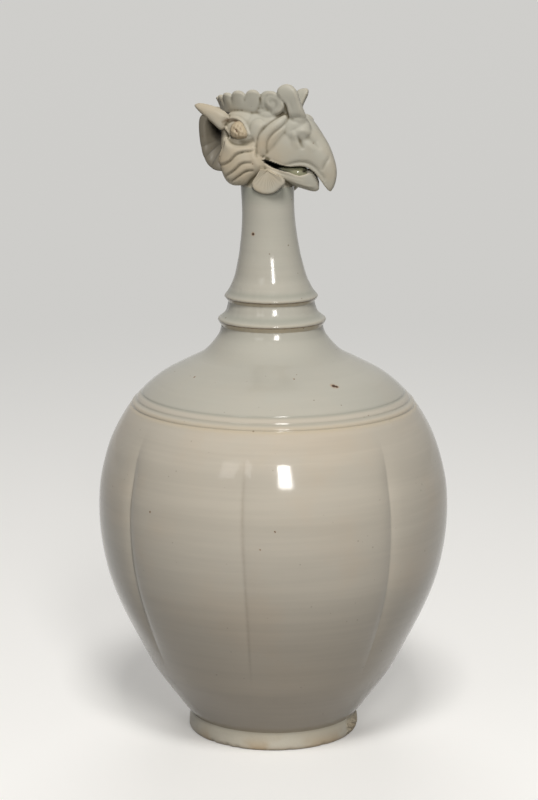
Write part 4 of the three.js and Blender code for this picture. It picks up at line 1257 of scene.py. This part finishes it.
def side_relief(x, z):
    """The tooled lines of one side of the head, in its side view, as heights off the surface: the sum of
    strokes (curve, height, width and sometimes taper) and of the cheek feathers' overlaps (curve,
    height, reach and cut)."""
    cere_back = [
        (15.3, 45.1), (11.5, 41.9), (8.3, 40.0), (3.1, 35.5), (-0.7, 29.9), (-1.7, 23.1), (-1.3, 17.6),
    ]
    cere_front = [(16.3, 42.0), (13.1, 36.3), (8.0, 31.9), (4.8, 26.9), (4.1, 19.5)]
    lip_line = [
        (1.4, 18.3), (5.9, 16.5), (9.7, 14.8), (14.2, 13.1), (18.1, 14.4), (23.8, 15.2), (28.3, 14.1),
        (33.4, 9.3), (36.6, 4.5),
    ]
    first_feather = [(-24.4, 12.6), (-17.7, 15.3), (-13.9, 19.1), (-9.4, 21.1), (-3.0, 21.9)]
    second_feather = [(-21.6, 6.2), (-14.5, 10.5), (-10.0, 14.3), (-3.6, 15.1)]
    third_feather = [(-17.8, 3.0), (-11.3, 7.5), (-6.8, 10.1), (-3.0, 10.4)]
    tooled = [
        # The cere's two edges and the swell between them
        (cere_back, -0.75, 0.95),
        (cere_front, -0.7, 0.95),
        ([(15.8, 43.6), (9.6, 37.8), (4.0, 31.8), (1.4, 26), (1.2, 19)], 0.5, 2.2),
        # The upper beak's lip and the roll under it
        (lip_line, -0.55, 1.2),
        ([(2.0, 16.6), (6.5, 15.6), (11.0, 13.8), (15.2, 12.2)], 0.4, 0.9),
        # The cheek's back edge and the hollow between cheek and eye
        ([(-21.2, 28.7), (-22.8, 23.7), (-24.3, 19.7), (-24.7, 16.3)], -1.1, 0.9),
        ([(-21.8, 33.0), (-19.4, 29.2), (-15.4, 26.4), (-10.6, 26.0), (-6.8, 26.7), (-3.0, 28.4)], -2.0, 1.9),
        # The eyelid's fold, its back corner and the crease inside it
        (lid_line, 1.5, 1.2),
        ([(-21.4, 35.6), (-20.8, 33.9), (-19.7, 31.6), (-18.3, 29.3)], 1.1, 0.9),
        ([(-19.9, 37.2), (-15.2, 38.8), (-10.4, 36.6), (-7.2, 32.0)], -0.8, 0.7),
        # The cheek's front edge
        ([(-2.6, 24.0), (-3.0, 19.9), (-1.8, 15.4), (0.6, 12.6)], 0.7, 1.6),
        # Soft folds on the side of the upper beak
        ([(16.6, 33.0), (19.4, 34.6), (23.4, 36.6), (27.6, 38.4)], -0.45, 1.7, 0.9),
        ([(18.6, 34.0), (19.9, 30.6), (20.8, 26.6), (21.4, 22.8)], 0.6, 1.7, 0.9),
        ([(21.3, 31.2), (23.0, 27.2), (24.9, 22.6)], -0.75, 1.2, 0.7),
        ([(20.6, 33.0), (25.0, 33.6), (28.8, 31.2), (31.4, 27.4)], 0.7, 1.8, 0.9),
        ([(26.5, 30.8), (30.3, 26.9), (34.8, 22.4)], -0.45, 1.5, 0.9),
        ([(26.6, 27.6), (28.4, 24.6), (31.4, 21.6)], 0.3, 2.0, 1.0),
        # Behind the beak's hook
        ([(39.6, 19.2), (36.9, 14.9), (34.4, 10.0)], -0.5, 1.3),
        # The lower beak's roll and the groove above it
        ([(0.8, 10.7), (9.2, 8.4), (16.2, 4.3), (23.9, 1.5), (30.3, -0.2)], 0.5, 0.9),
        ([(2.0, 12.6), (9.2, 10.0), (17.0, 7.0), (24.6, 4.6)], -0.35, 0.9),
    ]
    layers = [(first_feather, 1.4, 3.6, 0.8), (second_feather, 1.3, 3.2, 0.8), (third_feather, 1.1, 2.8, 0.7)]
    return (
        sum(stroke(x, z, *line) for line in tooled)
        + sum(overlap(x, z, *layer) for layer in layers)
    )


# Swellings under the skin of the right side, each an ellipsoid by its middle and its reach: the beak's
# root, round the eye, the horn's foot, the brow twice, behind the curl and before the horn
swellings = [
    ((16.2, -7.2, 32.0), (12.2, 6.2, 10.6)), ((-11.5, -8.6, 32.2), (14, 7.4, 11.8)),
    ((13.6, -10.2, 45.4), (3.6, 3.0, 4.6)), ((4.5, -9.2, 40.0), (9, 4.8, 5)),
    ((3.0, -9.2, 42.6), (8.5, 4.0, 3.8)), ((0.4, -10.6, 46.6), (3.4, 2.4, 5.0)),
    ((20.4, -8.4, 38.6), (5.6, 4.0, 4.4)),
]
skull_core = ((6, 0, 28), (13, 12.5, 12))
chin = ((26.4, 0, 5.6), (3.8, 5.4, 5.3))
filling_rings = [(-8.2, 20, 7.6, 7.6), (-8.2, 30, 8.0, 8.0), (-8.2, 44, 8.2, 8.2), (-8.2, 60, 8.2, 8.2)]
pocket_middle = np.array([9.5, 0.0, 10.0])
pocket_reach = np.array([9.5, 11.0, 5.0])


def model_head():
    """The head's clay: cranium, throat, beak halves, cheeks, ears, horns, comb and curls pressed into one
    skin, tooled with the lines of both sides, and bored for the filling hole and the gape."""
    pairs = [
        lobe(cheek_pad, (-12.0, 14.5), depth=14.4, thickness=6.0, dome=2.0, edge=0.6, lean=(0.02, 0.03)),
        lobe(ear_outline, (-26.5, 41.2), depth=14.8, thickness=4.4, dome=0.9, edge=0.7, lean=(-0.10, 0.0)),
        lobe(brow_bulge, (-1.6, 33), depth=13.0, thickness=7.0, dome=1.2, edge=0.9),
        lobe(curl_outline, curl_middle, depth=13.0, thickness=4.2, dome=0.2, edge=0.5, lean=(0.12, 0.06),
             rows=26, relief=curl_relief),
        *[ball(*swelling) for swelling in swellings],
    ]
    parts = [
        round_body(cranium_rails, power=0.78), pillar(throat_rings),
        arched_body(upper_beak_rails, thickness=3.2, hollow=0.3, power=0.8),
        arched_body(lower_beak_rails, thickness=2.4, hollow=0.42),
        ball(*skull_core), comb_skin(), ball(*chin),
        lobe(near_horn, (18.4, 47.5), depth=12.2, thickness=5.2, dome=0.3, edge=0.6, lean=(-0.12, 0.2),
             rows=24, relief=horn_relief),
        mirrored(lobe(far_horn, (16.4, 49.0), depth=12.2, thickness=4.4, dome=0.3, edge=0.6,
                      lean=(-0.06, 0.08))),
        *pairs, *[mirrored(pair) for pair in pairs],
    ]
    mesh = fused(parts, voxel, 5)
    points, edges, normals = arrays_of(mesh)
    flat = ease(np.abs(normals[:, 1]), 0.12, 0.5) * ease(np.abs(points[:, 1]), 2.0, 4.5)
    facing = np.sign(points[:, 1]) * normals[:, 1] > 0
    lift = side_relief(points[:, 0], seen_height(points)) * flat * facing
    move_points(mesh, softened(points + normals * lift[:, None], edges, 1, keep=0.5))
    for cutter in (
        pillar(filling_rings, 48), round_body(slit_rails, around=48), ball(pocket_middle, pocket_reach),
    ):
        mesh = bored(mesh, cutter)
    return mesh


def mouth_painted_shade(points):
    """Painted shade: 1 on the walls of the gape and of the pocket within it, which are painted dark, and 0
    elsewhere.
    """
    line = rails(slit_rails, 60)
    margin = 0.12
    x, height = points[:, 0], points[:, 2]
    top, bottom = (np.interp(x, line[:, k], line[:, k + 1]) for k in (0, 2))
    gape = ease(x, 1.5, 3.0) * (1 - ease(x, 17.0, 18.5))
    gape = gape * (height < top + margin) * (height > bottom - margin)
    away = np.abs(points - pocket_middle) / (pocket_reach + 0.1)
    return np.maximum(gape, (np.hypot(away[:, 0], away[:, 1]) < 1) * (away[:, 2] < 1))


def glaze_and_settle(name, mesh, nodes, material, thin_at, pool_at, clay=None, deep=None,
                     gathered=None):
    """Paints a head mesh by its ridges and hollows, with the pooled share from a sum of the fine and the
    broad bend, which darkens creases partly as painted shade, moves it onto the neck and settles it.
    Clay says where the glaze is missing, deep where painted shade darkens a hole and gathered where more
    of it pools, which is partly painted shade."""
    points, edges, normals = arrays_of(mesh)
    fine = hollows(points, edges, normals, 3)
    broad = hollows(points, edges, normals, 18)
    pooled = (0.6 * fine + 0.9 * broad) / pool_at
    paint(mesh, -fine / thin_at, pooled + (gathered(points) if gathered else 0),
          clay(points) if clay else None, deep(points) if deep else None)
    move_points(mesh, (tipped(points) + head_place) * MM)
    settle(name, mesh, nodes, material, crease=60)


def on_head(name, skin, material, thin_at=0.9, pool_at=0.6, pair=True, deep=None):
    """A piece of the head, or a pair of them, that replaces the node or nodes of its name."""
    sides = [("_right", skin), ("_left", mirrored(skin))] if pair else [("", skin)]
    for ending, (points, faces) in sides:
        full = name + ending
        glaze_and_settle(full, mesh_of(full, points, faces), [full], material, thin_at, pool_at,
                         deep=deep)


def both(name):
    """The names of a pair's two sides."""
    return [name + "_right", name + "_left"]


def brown_lids(points):
    """The glaze is missing on the eyelids' edges."""
    line = stroke(points[:, 0], seen_height(points), lid_brown, 1.0, 0.9)
    return 0.9 * line * (np.abs(points[:, 1]) > 6)


def throat_pool_and_painted_shade(points):
    """The glaze gathers round the throat, above the neck's top; the darker band is also painted shade under
    the head.
    """
    near = np.hypot(points[:, 0], points[:, 1]) < 17.5
    return 0.55 * (1 - ease(points[:, 2], 2, 9)) * near


skull_pairs = (
    "volute", "cere", "eyelid", "ear", "horn", "cheek_feather_1", "cheek_feather_2", "cheek_feather_3",
)
# The gape and its pocket get painted shade
glaze_and_settle(
    "skull", model_head(),
    ["skull", "upper_beak", "lower_beak", "crown", *[node for name in skull_pairs for node in both(name)]],
    head_glaze, thin_at=1.5, pool_at=0.5, clay=brown_lids, deep=mouth_painted_shade, gathered=throat_pool_and_painted_shade,
)

fan_rim = [
    (-18.8, 43.0), (-26.5, 43.9), (-31.6, 43.4), (-34.4, 42.2), (-35.9, 40.8), (-36.7, 38.4),
    (-36.9, 34.9), (-36.7, 30.6), (-36.1, 25.7), (-35.1, 20.8), (-33.6, 16.4), (-31.4, 12.9),
    (-29.0, 10.7), (-26.3, 9.6), (-22.6, 9.2), (-19.0, 9.4),
]
wattle_rim = [
    (0.6, 11.2), (-3.0, 5.6), (-4.5, 2.6), (-3.9, 0.0), (-1.0, -2.3), (3.5, -3.4), (9.3, -2.1),
    (13.2, 1.1), (15.2, 3.4), (14.4, 6.4),
]
fan_hinge = (-20.4, 31.0)
wattle_hinge = (4.6, 10.4)
fan_root = 0.06


def nape_fan():
    """A cupped fan behind the ear. Its upper part is deep at the hinge and comes out steeply to a thick
    rolled rim; its lower part, past the share 0.42 of the rim, comes out slowly by a sine, with soft
    flutes that are the absolute value of a sine along the rim."""
    stand, rise, half_rim, flute_depth = 4.6, 10.6, 1.15, 0.55
    u, v, x, z = fan_grid(fan_rim, fan_hinge, 170, 34)
    lower = ease(u, 0.42, 0.66)
    flutes = flute_depth * (np.abs(np.sin(np.pi * (8.6 * u ** 1.1 + 0.2))) - 0.6) * ease(v, 0.35, 0.9) * lower
    steep = ease(v, 0.42, 0.80)
    slow = np.sin(0.5 * np.pi * np.clip((v - 0.15) / 0.85, 0, 1)) ** 1.2
    under_ear = 1 - ease(u, 0.03, 0.2)
    cup = stand + rise * ((1 - lower) * steep + lower * slow) + 0.4 * v ** 8 - 5.5 * under_ear
    rolled = half_rim + 0.9 * (1 - lower) * (1 - under_ear) * ease(v, 0.5, 0.85)
    half = rolled * np.sqrt(np.clip(1.02 - v ** (14 - 6 * (1 - lower)), 0, 1))
    return between_sheets(x, z, cup + flutes + half, cup + 0.5 * flutes - half)


def wattle():
    """A small fan with a thick round rim: its sheet stands off the middle plane by the stand, plus the
    rise times v squared, plus the bulge times the sine of pi v. Its face is combed with faint lines that
    turn about the hinge and fade in between 3 and 8 away from the smooth place under it."""
    stand, rise, bulge, half_thickness = 14.2, 1.6, 0.6, 1.9
    smooth_height = 8.2
    _, v, x, z = fan_grid(wattle_rim, wattle_hinge, 260, 24)
    sheet = stand + rise * v ** 2 + bulge * np.sin(np.pi * v)
    half = half_thickness * (1 + 0.35 * v ** 6) * np.sqrt(np.clip(1.02 - v ** 14, 0, 1))
    points, faces = between_sheets(x, z, sheet + half, sheet - half)
    dx = points[:, 0] - wattle_hinge[0]
    turn = np.arctan2(points[:, 2] - wattle_hinge[1] + head_roll * 15, dx)
    on_face = ease(np.hypot(dx, points[:, 2] - smooth_height), 3, 8) * (points[:, 1] < -15.2)
    line_depth, lines = 0.02, 34
    points[:, 1] -= line_depth * np.cos(lines * turn + 2.0 * np.sin(5 * turn)) * on_face
    return points, faces


def fan_painted_shade(points):
    """Painted shade: the hollow of the fan is painted darker towards its hinge under the ear."""
    return 0.7 * ease(points[:, 0], -32.5, -26.0) * ease(points[:, 2], 16.0, 28.0)


on_head("nape_fan", nape_fan(), fan_glaze_painted_shade, thin_at=5.0, deep=fan_painted_shade)
on_head("wattle", wattle(), head_glaze, thin_at=3.5, pool_at=1.2)


def eye_creases(x, z, s):
    """Uneven dents, a product of two waves, and two creases of the pinched clay pellet."""
    creases = [
        ([(-15.4, 35.6), (-12.8, 33.6), (-11.6, 30.4)], -0.35, 0.7),
        ([(-12.6, 37.0), (-10.4, 34.2), (-9.2, 31.0)], -0.3, 0.7),
    ]
    dents = 0.22 * np.sin(1.9 * x + 0.7 * z) * np.sin(1.4 * z - 0.8 * x + 1) * (1 - s ** 4)
    return dents + sum(stroke(x, z, *crease) for crease in creases)


eye_pellet = lobe(eye_outline, (-12.4, 33.2), depth=16.0, thickness=5.4, dome=1.5, edge=0.7, rows=26,
                  relief=eye_creases)
on_head("eye", eye_pellet, eye_glaze)

pool_rails = [
    ((3.0, 12.0), (3.0, 6.4), 5.0), ((7.0, 12.9), (7.0, 5.2), 8.4), ((11.0, 13.0), (11.0, 4.8), 9.2),
    ((15.5, 12.5), (15.5, 4.4), 8.8), ((20, 11.8), (20, 2.6), 8.6),
    ((23.6, 11.0), (23.6, 2), 7.0), ((25.6, 8.8), (25.6, 2.4), 4.4), ((26.4, 6.8), (26.4, 3.4), 1.6),
]


def pool_painted_shade(points):
    """Painted shade: the back of the pool is painted dark, and a dark pit is painted near its front end."""
    pit = bell(np.hypot(points[:, 0] - 24.0, points[:, 2] - 8.6), 0.9) * (points[:, 1] < 0)
    return ease(-points[:, 0], -12.5, -9.0) + pit


on_head("tongue", round_body(pool_rails), pooled_glaze, pair=False, deep=pool_painted_shade)


# The room: camera, floor, world and lamps

pale, black = rgb(226, 225, 222), (0, 0, 0, 1)
shaded_floor, near_glow, far_glow = rgb(120, 119, 117), rgb(132, 131, 129), rgb(204, 203, 200)
view_azimuth, view_pitch = math.radians(16.0), math.radians(11.642)
view_distance, view_height, view_aside = 1.46308, 0.50378, -0.0026
lens_length, sensor_width = 112.5, 36.0
floor_reach = 30.0
# Each softbox: degrees aside from the camera, degrees up, distance, width and height, power, tint, and
# whether it shows in the glaze
softboxes = {
    "main_softbox": (8.0, 28.0, 1.9, (0.28, 0.60), 13.5, (1.0, 0.985, 0.96), True),
    "side_softbox": (-30.0, 30.0, 2.0, (0.5, 0.5), 1.3, (1.0, 0.99, 0.98), True),
    "top_softbox": (2.0, 56.0, 2.0, (0.5, 0.5), 24.0, (1.0, 0.99, 0.98), False),
    "back_softbox": (180.0, 38.0, 2.4, (1.4, 1.4), 20.0, (1.0, 0.99, 0.98), False),
}
lit_point = Vector((0, 0, 0.2))


def place_in_scene(name, data):
    """An object of the room."""
    item = bpy.data.objects.new(name, data)
    bpy.context.scene.collection.objects.link(item)
    return item


def face_along(item, heading):
    """Turns a camera or lamp to look along a direction."""
    item.rotation_euler = heading.to_track_quat("-Z", "Y").to_euler()


def seen_rays(tree):
    """1 for the camera's rays, also mirrored in a gloss or sent through, and 0 for light's own paths."""
    rays = add_node(tree, "ShaderNodeLightPath").outputs
    seen = maths(tree, "MAXIMUM", rays["Is Camera Ray"], rays["Is Glossy Ray"])
    return maths(tree, "MAXIMUM", seen, rays["Is Transmission Ray"])


def set_camera():
    """The photo's view: from the bird's right, a little in front of it and looking slightly down."""
    bpy.context.scene.view_settings.view_transform = "Standard"
    camera = place_in_scene("camera", bpy.data.cameras.new("camera"))
    bpy.context.scene.camera = camera
    camera.data.sensor_width = sensor_width
    camera.data.lens = lens_length
    camera.data.clip_end = 100.0
    across, along = math.sin(view_azimuth), math.cos(view_azimuth)
    camera.location = (
        across * view_distance + along * view_aside,
        -along * view_distance + across * view_aside,
        view_height,
    )
    level = math.cos(view_pitch)
    face_along(camera, Vector((-across * level, along * level, -math.sin(view_pitch))))


def lay_floor():
    """A pale floor that runs to the horizon. For rays that are seen it is lit by a glow of its own that
    grows with the distance, so it keeps one tone far away; for the rest it is darker."""
    mesh = bpy.data.meshes.new("floor")
    signs = ((-1, -1), (1, -1), (1, 1), (-1, 1))
    mesh.from_pydata([(x * floor_reach, y * floor_reach, 0) for x, y in signs], [], [(0, 1, 2, 3)])
    place_in_scene("floor", mesh)
    material, tree, shader = surface("pale_floor")
    away = add_node(tree, "ShaderNodeVectorMath", {0: object_places(tree)}, operation="LENGTH")
    seen = seen_rays(tree)
    far = product(tree, part_between(tree, away.outputs["Value"], 0.25, 1.5), seen)
    near = blend(tree, seen, shaded_floor, pale)
    glow = blend(tree, seen, black, near_glow)
    tree.links.new(blend(tree, far, near, black), shader.inputs["Base Color"])
    tree.links.new(blend(tree, far, glow, far_glow), shader.inputs["Emission Color"])
    for key, value in (("Emission Strength", 1.0), ("Roughness", 0.9), ("Specular IOR Level", 0.1)):
        shader.inputs[key].default_value = value
    mesh.materials.append(material)


def hang_sky():
    """A soft sky, pale where it is seen and weak as a light."""
    world = bpy.data.worlds.new("soft sky")
    bpy.context.scene.world = world
    world.use_nodes = True
    tree = world.node_tree
    sky = tree.nodes["Background"].inputs
    sky["Color"].default_value = pale
    inputs = {"Value": seen_rays(tree), "To Min": 0.07, "To Max": 0.66}
    tree.links.new(add_node(tree, "ShaderNodeMapRange", inputs).outputs[0], sky["Strength"])


def hang_softboxes():
    """Rectangular lamps that face the belly, placed by angles from the camera's azimuth."""
    for name, (aside, up, distance, size, power, tint, mirrored_in_glaze) in softboxes.items():
        data = bpy.data.lights.new(name, "AREA")
        data.shape = "RECTANGLE"
        data.size, data.size_y = size
        data.energy = power
        data.color = tint
        box = place_in_scene(name, data)
        box.visible_glossy = mirrored_in_glaze
        turn, rise = view_azimuth + math.radians(aside), math.radians(up)
        level = math.cos(rise)
        box.location = lit_point + distance * Vector((
            math.sin(turn) * level, -math.cos(turn) * level, math.sin(rise),
        ))
        face_along(box, lit_point - box.location)


set_camera()
lay_floor()
hang_sky()
hang_softboxes()
